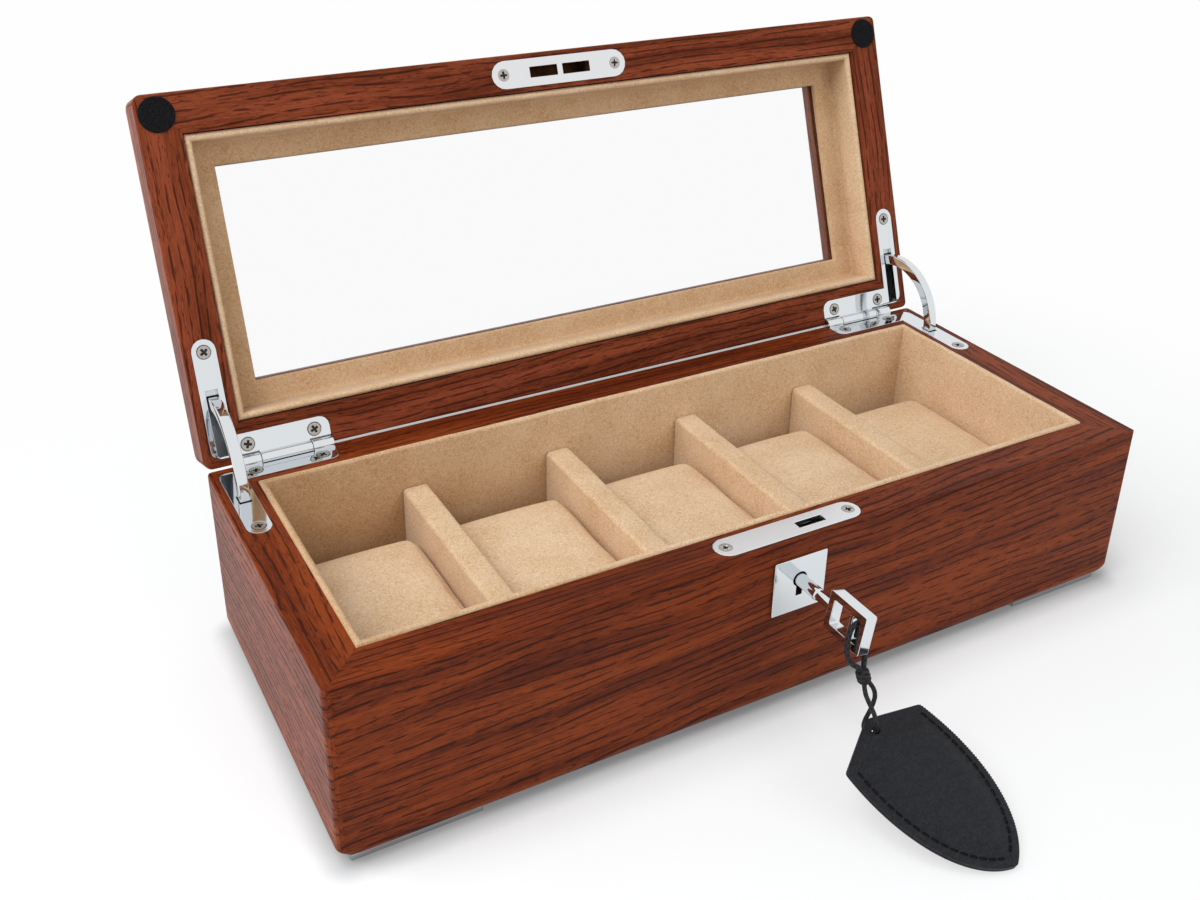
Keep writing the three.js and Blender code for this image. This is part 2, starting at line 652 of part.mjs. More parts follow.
// Lock case with its face plate and pivot, and the hook that the key swings out of it
function makeLock(scene) {
  const shapes = shapesAt(lockPlace);
  const plateLow = plateProud - plateThickness;
  const [caseX, caseY] = [caseWidth / 2, caseDepth / 2];
  const [roomX, roomY] = [caseX - caseWall, caseY - caseWall];
  const bossEnds = [-hookThickness / 2, roomY + caseWall / 2].map((y) => [0, y, -hookPivotDrop]);
  const boss = shapes.rod(hookPivotRadius, ...bossEnds);
  const lock = shapes.block([-caseX, -caseY, -caseDrop], [caseX, caseY, plateLow + plateThickness / 2])
    .subtract(shapes.block([-roomX, -roomY, caseWall - caseDrop], [roomX, roomY, plateLow]))
    .add(screwedPlate(shapes, plateLength, plateWidth, plateScrewSpan, plateLow, plateProud, 1))
    .subtract(shapes.block(
      [boltSlotStart, -boltSlotWidth / 2, plateLow - cutOverrun], [boltSlotEnd, boltSlotWidth / 2, cutOverrun]))
    .subtract(keyhole(0, lockInset - roomY, 0))
    .add(boss);
  scene.add(toMesh('lock_case', lock, satinSteel));

  const atPivot = shapesAt(lockPlace.clone().add(new THREE.Vector3(0, 0, -hookPivotDrop)));
  const halfThickness = hookThickness / 2;
  const claw = sector(hookInnerRadius, hookOuterRadius, hookTailDegrees, hookNoseDegrees);
  const spokeEnd = hookTailDegrees + hookSpokeDegrees;
  const spoke = sector(hookHubRadius / 2, hookInnerRadius + caseWall, hookTailDegrees, spokeEnd);
  const hook = atPivot.prism(claw, 'y', -halfThickness, halfThickness)
    .add(atPivot.prism(spoke, 'y', -halfThickness, halfThickness))
    .add(atPivot.rod(hookHubRadius, [0, -halfThickness, 0], [0, halfThickness, 0]))
    .subtract(atPivot.rod(
      hookPivotRadius + 2 * pinClearance, [0, -halfThickness - cutOverrun, 0], [0, halfThickness + cutOverrun, 0]));
  scene.add(toMesh('lock_hook', hook, satinSteel));
}

// Escutcheon on the front face, and the key standing in the lock
function makeKey(scene) {
  const dropFromKey = keyDrop - escutcheonDrop;
  const half = escutcheonSize / 2;
  const shapes = shapesAt(keyPlace);
  const square = roundedRectangle(-half, dropFromKey - half, half, dropFromKey + half, escutcheonRound);
  const escutcheon = shapes.prism(square, 'y', -escutcheonThickness, 0).subtract(keyhole(-cutOverrun, cutOverrun, 0));
  scene.add(toMesh('escutcheon', escutcheon, chrome));

  const tip = lockInset - hookThickness / 2 - seatGap;
  const shank = [
    [0, tip],
    [shankRadius, tip],
    [shankRadius, -shankOut],
    [neckRadius, -shankOut - (shankRadius - neckRadius)],
    [neckRadius, -neckOut - windowStart / 2],
    [0, -neckOut - windowStart / 2],
  ].reverse();
  const at = shapesAt(origin);
  const [thick, overrun] = [bowThickness / 2, bowThickness / 2 + cutOverrun];
  const plate = (start, length, height, round, reach) => at.prism(
    roundedRectangle(start - length, -height / 2, start, height / 2, round), 'x', -reach, reach);
  const windowEnd = windowStart + windowLength;
  const bow = plate(-neckOut, bowLength, bowHeight, bowRound, thick)
    .subtract(plate(-neckOut - windowStart, windowLength, windowHeight, bowRound, overrun))
    .subtract(plate(-neckOut - windowEnd - innerBar, cordSlotLength, cordSlotHeight, cordSlotRound, overrun))
    .rotate([0, bowTurnDegrees, 0])
    .translate(keyPlace.toArray());
  const key = shapes.turned(shank, rodSteps, 'back')
    .add(bow)
    .add(shapes.block([-bitHalf, tip - bitThickness, -bitReach], [bitHalf, tip, 0]));
  scene.add(toMesh('key', key, chrome));
}

// Tube of the waxed cord along a hand-laid route
function cordTube(route, radius) {
  const path = new THREE.CatmullRomCurve3(route.map((point) => new THREE.Vector3(...point)), false, 'centripetal');
  const ring = arc(0, 0, radius, 0, 360, cordSides).slice(0, -1);
  const section = new THREE.Shape(ring.map(([a, b]) => new THREE.Vector2(a, b)));
  return toSolid(new THREE.ExtrudeGeometry(section, {
    steps: 2 * route.length, bevelEnabled: false, extrudePath: path,
  }));
}

// Leather fob, its knot and the two loops of its cord
function makeFob(scene) {
  const half = [
    [0, 0],
    [fobShoulderHalf, -fobShoulderDrop],
  ];
  const flank = new THREE.CubicBezierCurve(
    new THREE.Vector2(fobShoulderHalf, -fobShoulderDrop), new THREE.Vector2(fobBellyReach, -fobBellyDrop),
    new THREE.Vector2(fobFlankReach, -fobFlankDrop), new THREE.Vector2(0, -fobLength));
  for (const point of flank.getPoints(3 * roundSteps).slice(1)) half.push([point.x, point.y]);
  const mirrored = half.slice(1, -1).reverse().map(([x, y]) => [-x, y]);
  const shape = new THREE.Shape([...half, ...mirrored].map(([x, y]) => new THREE.Vector2(x, y)));
  const holePoints = arc(fobHoleShift, -fobHoleDrop, fobHoleRadius, 0, 360, rodSteps / 2).slice(0, -1);
  shape.holes.push(new THREE.Path(holePoints.map(([x, y]) => new THREE.Vector2(x, y))));
  const body = new THREE.ExtrudeGeometry(shape, {
    depth: fobThickness - 2 * fobEdgeRound, bevelSegments: 1,
    bevelThickness: fobEdgeRound, bevelSize: fobEdgeRound, bevelOffset: -fobEdgeRound,
  }).translate(0, 0, fobEdgeRound - fobThickness);
  const hanging = new THREE.Group();
  hanging.position.set(...fobApex);
  hanging.rotation.set(radians(fobPitchDegrees), 0, radians(fobYawDegrees), 'ZXY');
  hanging.add(toMesh('key_fob', toSolid(body), blackLeather));
  scene.add(hanging);

  const lean = new THREE.Vector3(...knotLeanShares).normalize();
  const knot = new THREE.SphereGeometry(knotRadius, ...knotSteps).scale(1, knotHalfHeight / knotRadius, 1)
    .applyQuaternion(new THREE.Quaternion().setFromUnitVectors(new THREE.Vector3(0, 1, 0), lean))
    .translate(...knotCentre);
  scene.add(toMesh('key_cord_knot', toSolid(knot), blackCord));
  scene.add(toMesh('key_cord_upper', cordTube(upperCordRoute, upperCordRadius), blackCord));
  scene.add(toMesh('key_cord_lower', cordTube(lowerCordRoute, lowerCordRadius), blackCord));
}

// Lid: four rails with the window's lip, the glass, its lining, the strike plate and the bumpers
function makeLid(lid) {
  const lipLow = lidHeight - lipThickness;
  const lipReach = wallThickness + lipWidth;
  const profile = [
    [rimRound, 0],
    [wallThickness, 0],
    [wallThickness, lipLow],
    [lipReach, lipLow],
    [lipReach, lidHeight],
    ...arc(lidEdgeRound, lidHeight - lidEdgeRound, lidEdgeRound, 90, 180, edgeSteps),
    ...arc(rimRound, rimRound, rimRound, 180, 270, 2).slice(0, -1),
  ];
  const rails = mitredFrame(profile, lidCentre, lidHeight);
  for (const side of [-1, 1]) {
    for (const cut of hingeCuts(origin, side, 1)) {
      rails.back = rails.back.subtract(cut);
      const rail = side < 0 ? 'left' : 'right';
      rails[rail] = rails[rail].subtract(cut);
    }
  }
  const atStrike = shapesAt(strikePlace);
  const slotFar = strikeBarHalf + strikeSlotLength;
  const slotHalf = strikeSlotWidth / 2;
  const plateHigh = plateThickness - plateProud;
  const recess = strip(strikeLength + 2 * flushGap, strikeWidth + 2 * flushGap);
  rails.front = rails.front
    .subtract(atStrike.prism(recess, 'z', -cutOverrun, plateHigh + flushGap))
    .subtract(atStrike.block(
      [-slotFar - flushGap, -slotHalf - seatGap, 0], [slotFar + flushGap, slotHalf + seatGap, strikePocketDepth]));
  for (const [side, rail] of Object.entries(rails)) lid.add(toMesh(`lid_${side}_rail`, rail, wood));

  let strike = screwedPlate(atStrike, strikeLength, strikeWidth, strikeScrewSpan, -plateProud, plateHigh, -1);
  for (const sign of [-1, 1]) {
    const [xa, xb] = [sign * strikeBarHalf, sign * slotFar];
    strike = strike.subtract(atStrike.block(
      [Math.min(xa, xb), -slotHalf, -plateProud - cutOverrun], [Math.max(xa, xb), slotHalf, plateHigh + cutOverrun]));
  }
  lid.add(toMesh('strike_plate', strike, satinSteel));

  const shapes = shapesAt(lidCentre);
  const [insideX, insideY] = [halfWidth - wallThickness, halfDepth - wallThickness];
  const [windowX, windowY] = [insideX - lipWidth, insideY - lipWidth];
  const glassHigh = lipLow - seatGap;
  const glassLow = glassHigh - glassThickness;
  const slab = (x, y, low, high) => shapes.block([-x, -y, low], [x, y, high]);
  const glass = slab(insideX - seatGap, insideY - seatGap, glassLow, glassHigh);
  lid.add(toMesh('lid_glass', glass, clearGlass));
  const ledgeHigh = glassLow - seatGap;
  const ledgeLow = ledgeHigh - ledgeThickness;
  const lining = slab(insideX - seatGap, insideY - seatGap, lidLiningDrop, ledgeHigh)
    .subtract(slab(insideX - seatGap - liningThickness, insideY - seatGap - liningThickness, -cutOverrun, ledgeLow))
    .subtract(slab(windowX, windowY, ledgeLow - cutOverrun, ledgeHigh + cutOverrun));
  lid.add(toMesh('lid_lining', lining, suede));

  for (const [name, side] of [['left', -1], ['right', 1]]) {
    const [x, y] = [side * (halfWidth - wallThickness / 2), wallThickness / 2 - halfDepth];
    const bumper = shapes.rod(bumperRadius, [x, y, -bumperThickness - mitreGap], [x, y, -mitreGap]);
    lid.add(toMesh(`felt_bumper_${name}`, bumper, blackFelt));
  }
}

const watchCase = new THREE.Group();
const lid = new THREE.Group();
lid.position.copy(hingeAxis);
lid.rotation.x = -radians(lidOpenDegrees);
makeBase(watchCase);
makeInside(watchCase);
makeHinges(watchCase, lid);
makeLock(watchCase);
makeKey(watchCase);
makeFob(watchCase);
makeLid(lid);
watchCase.add(lid);

export default watchCase;
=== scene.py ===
"""Looks of the watch display case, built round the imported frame. Lengths in the classes are millimetres."""

from __future__ import annotations

import logging
import math
from dataclasses import dataclass
from enum import Enum
from typing import Any, Callable

import bmesh
import bpy
import numpy as np
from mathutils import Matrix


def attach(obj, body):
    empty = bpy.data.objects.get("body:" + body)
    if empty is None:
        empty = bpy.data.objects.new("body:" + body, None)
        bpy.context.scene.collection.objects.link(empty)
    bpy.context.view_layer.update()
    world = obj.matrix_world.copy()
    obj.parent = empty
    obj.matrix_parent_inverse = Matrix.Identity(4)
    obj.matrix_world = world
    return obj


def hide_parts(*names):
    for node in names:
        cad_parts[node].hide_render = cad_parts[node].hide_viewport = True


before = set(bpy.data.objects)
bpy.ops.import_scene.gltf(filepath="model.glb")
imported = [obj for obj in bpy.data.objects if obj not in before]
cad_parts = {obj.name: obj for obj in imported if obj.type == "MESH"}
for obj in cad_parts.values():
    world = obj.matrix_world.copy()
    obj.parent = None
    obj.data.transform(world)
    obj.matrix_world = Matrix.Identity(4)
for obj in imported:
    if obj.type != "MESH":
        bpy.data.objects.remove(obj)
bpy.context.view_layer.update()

LOG = logging.getLogger("watch_case")
MM = 0.001
HINGE_AXIS = np.array([0.0, 70.0, 69.9])
RIM = 0.4
LID_OPEN = math.radians(109.5)
LOCK_X = 2.0
SIDES = (("left", -1), ("right", 1))

Points = np.ndarray
Pair = tuple[float, float]
Triple = tuple[float, float, float]
Piece = bpy.types.Object
Material = bpy.types.Material
Socket = bpy.types.NodeSocket


class Body(Enum):
    """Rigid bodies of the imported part."""

    CASE = "case"
    LID = "lid"
    ARM_LEFT = "arm_left"
    ARM_RIGHT = "arm_right"
    FOB = "fob_on_cord"
    KEY = "turning_key"
    HOOK = "hook"


class Slot(Enum):
    """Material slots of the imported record."""

    WOOD = "stained_wood"
    FOOT = "foot_metal"
    SUEDE = "suede"
    CHROME = "polished_chrome"
    SATIN = "satin_chrome"
    SCREW = "screw_steel"
    GLASS = "glass"
    FELT = "felt"
    LEATHER = "black_leather"
    CORD = "waxed_cord"


class GrainRun(Enum):
    """Turn that brings each board's grain onto the pattern's X axis, in degrees about X, Y and Z."""

    FRONT = (0.0, 2.5, 0.0)
    BACK = (0.0, -1.5, 0.0)
    SIDE = (0.0, 0.0, -90.0)
    LID_LONG = (109.5, 0.0, 1.0)
    LID_SIDE = (109.5, 0.0, -90.0)


# Node trees


def colour(code: str) -> tuple[float, float, float, float]:
    """Turns an sRGB hex code into a linear colour.

    Args:
        code: Six hex digits with a leading hash.

    Returns:
        Linear red, green, blue and an alpha of one.
    """
    srgb = np.array([int(code[i : i + 2], 16) / 255 for i in (1, 3, 5)])
    red, green, blue = np.where(srgb <= 0.04045, srgb / 12.92, ((srgb + 0.055) / 1.055) ** 2.4)
    return float(red), float(green), float(blue), 1.0


class Paint:
    """Node tree with one short call for each kind of node; an input is a socket to link or a value to set."""

    def __init__(self, tree: bpy.types.NodeTree) -> None:
        """Takes a tree and clears it."""
        self.tree = tree
        tree.nodes.clear()

    def feed(self, node: bpy.types.Node, inputs: dict[Any, Any]) -> None:
        """Links or sets inputs of a node.

        Args:
            node: The node.
            inputs: Sockets and values by the name or number of the input.
        """
        for name, value in inputs.items():
            if isinstance(value, bpy.types.NodeSocket):
                self.tree.links.new(value, node.inputs[name])
            else:
                node.inputs[name].default_value = value

    def add(self, kind: str, inputs: dict[Any, Any] | None = None, **settings: Any) -> bpy.types.Node:
        """Adds a node.

        Args:
            kind: Blender's name of the node type, without ShaderNode.
            inputs: Sockets and values by the name or number of the input.
            settings: Attributes of the node.

        Returns:
            The new node.
        """
        node = self.tree.nodes.new("ShaderNode" + kind)
        for name, value in settings.items():
            setattr(node, name, value)
        self.feed(node, inputs or {})
        return node

    def maths(self, operation: str, *inputs: Any) -> Socket:
        """Works with numbers, by one of Blender's operations."""
        return self.add("Math", dict(enumerate(inputs)), operation=operation).outputs[0]

    def vector(self, operation: str, *inputs: Any) -> Socket:
        """Works with vectors; a length and a dot product come out as a number."""
        node = self.add("VectorMath", dict(enumerate(inputs)), operation=operation)
        return node.outputs["Value" if operation in ("LENGTH", "DOT_PRODUCT") else "Vector"]

    def mapped(self, value: Socket, given: Pair, wanted: Pair = (0.0, 1.0), soft: bool = True) -> Socket:
        """Maps a value from one range to another, with soft ends or evenly."""
        inputs = {0: value, 1: given[0], 2: given[1], 3: wanted[0], 4: wanted[1]}
        return self.add("MapRange", inputs, interpolation_type="SMOOTHSTEP" if soft else "LINEAR").outputs[0]

    def ramp(self, value: Socket, *stops: tuple[float, str]) -> Socket:
        """Turns a value into a colour.

        Args:
            value: The value, from 0 to 1.
            stops: Places and hex colours of the ramp.

        Returns:
            The colour socket.
        """
        node = self.add("ValToRGB", {0: value})
        elements = node.color_ramp.elements
        while len(elements) < len(stops):
            elements.new(0.5)
        for element, (place, code) in zip(elements, stops):
            element.position = place
            element.color = colour(code)
        return node.outputs[0]

    def mix(self, share: Socket, first: Any, second: Any, blend: str = "MIX") -> Socket:
        """Mixes two colours by a share."""
        return self.add("Mix", {0: share, 6: first, 7: second}, data_type="RGBA", blend_type=blend).outputs[2]

    def millimetres(self, run: GrainRun | None = None) -> Socket:
        """Gives the object's own coordinates in millimetres, turned so that the grain runs along X.

        Args:
            run: The board's grain direction, or None for a material without one.

        Returns:
            The vector socket.
        """
        turn = tuple(math.radians(angle) for angle in run.value) if run else (0.0, 0.0, 0.0)
        place = self.add("TexCoord").outputs["Object"]
        return self.add("Mapping", {0: place, "Rotation": turn, "Scale": (1 / MM,) * 3}).outputs[0]

    def noise(self, place: Socket, size: Triple, detail: float = 2.0, output: str = "Fac") -> Socket:
        """Adds noise whose grains have a size in millimetres along each axis; its output is Fac or Color."""
        scaled = self.vector("MULTIPLY", place, tuple(1 / s for s in size))
        return self.add("TexNoise", {"Vector": scaled, "Scale": 1.0, "Detail": detail}).outputs[output]

    def eye(self) -> Socket:
        """Tells the rays that show the white room from those that light it.

        Returns:
            A socket that is 1 for rays of the camera, of gloss and through glass, and 0 for the others.
        """
        path = self.add("LightPath").outputs
        seen = self.maths("MAXIMUM", path["Is Camera Ray"], path["Is Glossy Ray"])
        return self.maths("MAXIMUM", seen, path["Is Transmission Ray"])


class Finish(Paint):
    """A material round one Principled shader."""

    def __init__(self, name: str) -> None:
        """Makes the bare material, under the name of the real one."""
        self.material = bpy.data.materials.new(name)
        self.material.use_nodes = True
        super().__init__(self.material.node_tree)
        self.output = self.add("OutputMaterial")
        self.shader = self.add("BsdfPrincipled")
        self.feed(self.output, {0: self.shader.outputs[0]})

    def bump(self, height: Socket, strength: float, depth: float, invert: bool = False) -> Socket:
        """Gives a relief that is so many millimetres deep at full strength."""
        inputs = {"Height": height, "Strength": strength, "Distance": depth * MM}
        return self.add("Bump", inputs, invert=invert).outputs[0]

    def blend(self, share: Socket, kind: str, tint: str) -> None:
        """Shows a second shader in place of the first, by a share.

        Args:
            share: How much of the second shader shows.
            kind: Blender's name of its node type, without ShaderNode.
            tint: Its hex colour.
        """
        other = self.add(kind, {0: colour(tint)}).outputs[0]
        both = self.add("MixShader", {0: share, 1: self.shader.outputs[0], 2: other}).outputs[0]
        self.feed(self.output, {0: both})

    def wear(self, inputs: dict[str, Any]) -> Material:
        """Feeds the shader's inputs by their names, and gives the material."""
        self.feed(self.shader, inputs)
        return self.material


# Meshes


def fetch(items: Any, name: str, kind: type = np.float32, width: int = 3) -> Points:
    """Reads one attribute of all vertices, loops or faces.

    Args:
        items: Collection of a mesh.
        name: Name of the attribute.
        kind: Type of its numbers.
        width: Numbers per item.

    Returns:
        One row per item, or a flat array if the width is 1.
    """
    values = np.empty(len(items) * width, kind)
    items.foreach_get(name, values)
    return values.reshape(-1, width) if width > 1 else values


def move_points(mesh: bpy.types.Mesh, points: Points) -> None:
    """Moves a mesh's points to new places in metres."""
    mesh.vertices.foreach_set("co", points.astype(np.float32).ravel())
    mesh.update()


def linked(name: str, data: Any) -> Piece:
    """Puts data into the scene.

    Args:
        name: Name of the object.
        data: Its mesh, camera or lamp.

    Returns:
        The object.
    """
    made = bpy.data.objects.new(name, data)
    bpy.context.collection.objects.link(made)
    return made


def finish_shading(mesh: bpy.types.Mesh, smooth: float) -> None:
    """Shades a mesh smooth, except at its sharp edges.

    Args:
        mesh: The mesh.
        smooth: Edges sharper than this many degrees stay sharp.
    """
    mesh.polygons.foreach_set("use_smooth", np.ones(len(mesh.polygons), bool))
    mesh.set_sharp_from_angle(angle=math.radians(smooth))
    mesh.update()


def settle(piece: Piece) -> None:
    """Keeps what its modifiers make of a piece as its mesh.

    Args:
        piece: The piece, which loses its modifiers.
    """
    done = bpy.data.meshes.new_from_object(piece.evaluated_get(bpy.context.evaluated_depsgraph_get()))
    piece.modifiers.clear()
    piece.data = done


def carve(piece: Piece, form: Piece, operation: str, smooth: float) -> None:
    """Cuts a piece by a form.

    Args:
        piece: The piece.
        form: The form that cuts it.
        operation: INTERSECT or DIFFERENCE.
        smooth: Edges sharper than this many degrees stay sharp.
    """
    cut = piece.modifiers.new("cut", "BOOLEAN")
    cut.operation = operation
    cut.solver = "EXACT"
    cut.object = form
    settle(piece)
    finish_shading(piece.data, smooth)


def to_mesh_object(name: str, points: Points, faces: list[list[int]], smooth: float = 35.0) -> Piece:
    """Puts points and faces into a new mesh object, with its faces turned outwards.

    Args:
        name: Name of the piece.
        points: Points in millimetres, one per row.
        faces: Corner numbers of each face.
        smooth: Edges sharper than this many degrees stay sharp.

    Returns:
        The object.
    """
    mesh = bpy.data.meshes.new(name)
    mesh.from_pydata((points.reshape(-1, 3) * MM).tolist(), [], faces)
    work = bmesh.new()
    work.from_mesh(mesh)
    bmesh.ops.remove_doubles(work, verts=work.verts, dist=1e-6)
    bmesh.ops.dissolve_degenerate(work, dist=1e-6, edges=work.edges)
    bmesh.ops.recalc_face_normals(work, faces=work.faces)
    if work.calc_volume(signed=True) < 0:
        bmesh.ops.reverse_faces(work, faces=work.faces)
    work.to_mesh(mesh)
    work.free()
    finish_shading(mesh, smooth)
    return linked(name, mesh)


def grid_faces(rows: int, columns: int, wrap_rows: bool, wrap_columns: bool) -> Points:
    """Numbers the quads of a grid of points.

    Args:
        rows: Points along the first parameter.
        columns: Points along the second parameter.
        wrap_rows: Whether the last row joins the first.
        wrap_columns: Whether the last column joins the first.

    Returns:
        Four corner numbers per quad.
    """
    counts = np.arange(rows if wrap_rows else rows - 1), np.arange(columns if wrap_columns else columns - 1)
    row, column = np.meshgrid(*counts, indexing="ij")
    next_row, next_column = (row + 1) % rows, (column + 1) % columns
    corners = ((row, column), (next_row, column), (next_row, next_column), (row, next_column))
    return np.stack([r * columns + c for r, c in corners], -1).reshape(-1, 4)


def end_caps(rows: int, columns: int) -> list[list[int]]:
    """Numbers the corners of the end faces on the first and the last row of a grid."""
    ring = np.arange(columns)
    return [ring[::-1].tolist(), (ring + (rows - 1) * columns).tolist()]


def surface(
    name: str, grid: Points, wrap: tuple[bool, bool], caps: bool = False, smooth: float = 35.0
) -> Piece:
    """Makes a piece from a grid of points; caps close the first and the last row.

    Args:
        name: Name of the piece.
        grid: Points in millimetres, as rows by columns by three.
        wrap: Whether the rows and the columns close on themselves.
        caps: Whether the first and last rows become end faces.
        smooth: Edges sharper than this many degrees stay sharp.

    Returns:
        The object.
    """
    rows, columns = grid.shape[:2]
    faces = grid_faces(rows, columns, *wrap).tolist() + (end_caps(rows, columns) if caps else [])
    return to_mesh_object(name, grid, faces, smooth)


def lathe(
    name: str, profile: Points, steps: int, frame_of: Callable[[Points], Points], smooth: float = 35.0
) -> Piece:
    """Turns a profile of radius and height about Z, then puts it in place.

    Args:
        name: Name of the piece.
        profile: Radius and height per row, from the axis back to the axis.
        steps: Steps round the axis.
        frame_of: Places the turned points in the row frame.
        smooth: Edges sharper than this many degrees stay sharp.

    Returns:
        The object.
    """
    angle = np.linspace(0, 2 * np.pi, steps, endpoint=False)[:, None]
    radius, height = profile[:, 0][None], np.broadcast_to(profile[:, 1][None], (steps, len(profile)))
    grid = np.stack([radius * np.cos(angle), radius * np.sin(angle), height], -1)
    return surface(name, frame_of(grid), (True, False), smooth=smooth)


def about_hinge(points: Points, angle: float) -> Points:
    """Turns points about the hinge's direction, X.

    Args:
        points: Points taken from the hinge axis.
        angle: The angle in radians.

    Returns:
        The turned points.
    """
    x, y, z = np.moveaxis(np.asarray(points, float), -1, 0)
    cosine, sine = math.cos(angle), math.sin(angle)
    return np.stack([x, y * cosine - z * sine, y * sine + z * cosine], -1)


def lid_to_world(points: Points) -> Points:
    """Turns points of the closed lid, taken from the hinge axis, into the open lid of the row frame."""
    return about_hinge(points, -LID_OPEN) + HINGE_AXIS


def arc(centre: Pair, radius: float, start: float, end: float, steps: int) -> Points:
    """Points of an arc, from one angle in degrees to another."""
    angle = np.radians(np.linspace(start, end, steps + 1))
    return np.array(centre) + radius * np.stack([np.cos(angle), np.sin(angle)], -1)


def round_corners(half: Pair, radius: float, steps: int, first: int = 0) -> Points:
    """Outline of a rectangle with round corners, about its middle.

    Args:
        half: Half of its width and of its height.
        radius: Radius of the corners.
        steps: Steps of each corner.
        first: Quarter turn at which the outline starts.

    Returns:
        Points of the outline.
    """
    signs = ((1, 1), (-1, 1), (-1, -1), (1, -1))
    x, y = half[0] - radius, half[1] - radius
    corners = [(signs[quarter % 4], 90 * quarter) for quarter in range(first, first + 4)]
    return np.vstack([arc((a * x, b * y), radius, start, start + 90, steps) for (a, b), start in corners])


def run_along(path: Points, power: float = 1.0) -> Points:
    """Distance from a path's start to each of its points, with each step's length raised to a power."""
    return np.concatenate([[0], np.cumsum(np.linalg.norm(np.diff(path, axis=0), axis=1) ** power)])


def even_ring(outline: Points, count: int) -> Points:
    """Takes points at equal distances from an outline.

    Args:
        outline: Points in the plane, of which the last is the first again.
        count: Number of points to take.

    Returns:
        The points.
    """
    run = run_along(outline)
    wanted = np.linspace(0, run[-1], count, endpoint=False)
    return np.stack([np.interp(wanted, run, outline[:, k]) for k in (0, 1)], -1)


def wander(along: Points, size: float, length: float, seed: int) -> Points:
    """Small unevenness of hand work: four sines of random phase, as an array of millimetres.

    Args:
        along: Distance along the piece.
        size: Largest deviation.
        length: Longest wavelength.
        seed: Number that fixes the phases.

    Returns:
        Deviation at each distance.
    """
    draws = np.random.default_rng(seed).uniform(0, 2 * np.pi, 4)
    waves = [np.sin(2 * np.pi * along * (k + 1.3 * k * k) / length + p) / k for k, p in enumerate(draws, 1)]
    return size * np.sum(waves, 0) / 2


# Pieces


def place_piece(piece: Piece, body: Body, slot: Slot, material: Material, *nodes: str) -> Piece:
    """Gives a piece its finish and its body, and lets it stand for CAD nodes.

    Args:
        piece: The finished piece.
        body: Body that it rides on.
        slot: Slot of the record, which is only written to the log.
        material: Its material.
        nodes: CAD nodes that it replaces.

    Returns:
        The piece.
    """
    piece.data.materials.clear()
    piece.data.materials.append(material)
    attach(piece, body.value)
    if nodes:
        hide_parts(*nodes)
    LOG.info("%s rides on %s as %s", piece.name, body.value, slot.value)
    return piece


def crisp_copy(node: str, name: str, edge: float = 0.0, smooth: float = 30.0) -> Piece:
    """Copies a CAD node's mesh, merges its triangles and rounds its edges.

    Args:
        node: CAD node to copy.
        name: Name of the piece.
        edge: Width of the rounding in millimetres, or zero for none.
        smooth: Edges sharper than this many degrees count as edges.

    Returns:
        The object.
    """
    work = bmesh.new()
    work.from_mesh(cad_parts[node].data)
    bmesh.ops.remove_doubles(work, verts=work.verts, dist=2e-6)
    bmesh.ops.dissolve_limit(work, angle_limit=math.radians(0.5), verts=work.verts, edges=work.edges)
    work.verts.index_update()
    mesh = bpy.data.meshes.new(name)
    mesh.from_pydata([v.co[:] for v in work.verts], [], [[v.index for v in f.verts] for f in work.faces])
    work.free()
    finish_shading(mesh, smooth)
    made = linked(name, mesh)
    if edge:
        bevel = made.modifiers.new("worn_edges", "BEVEL")
        bevel.width = edge * MM
        bevel.segments = 2
        bevel.limit_method = "ANGLE"
        bevel.angle_limit = math.radians(smooth)
        bevel.use_clamp_overlap = False
        bevel.harden_normals = True
    return made


def dress(node: str, name: str, edge: float, body: Body, slot: Slot, material: Material) -> None:
    """Puts a crisp copy of a CAD node, with its edges rounded, in the node's place."""
    place_piece(crisp_copy(node, name, edge), body, slot, material, node)


# Finishes


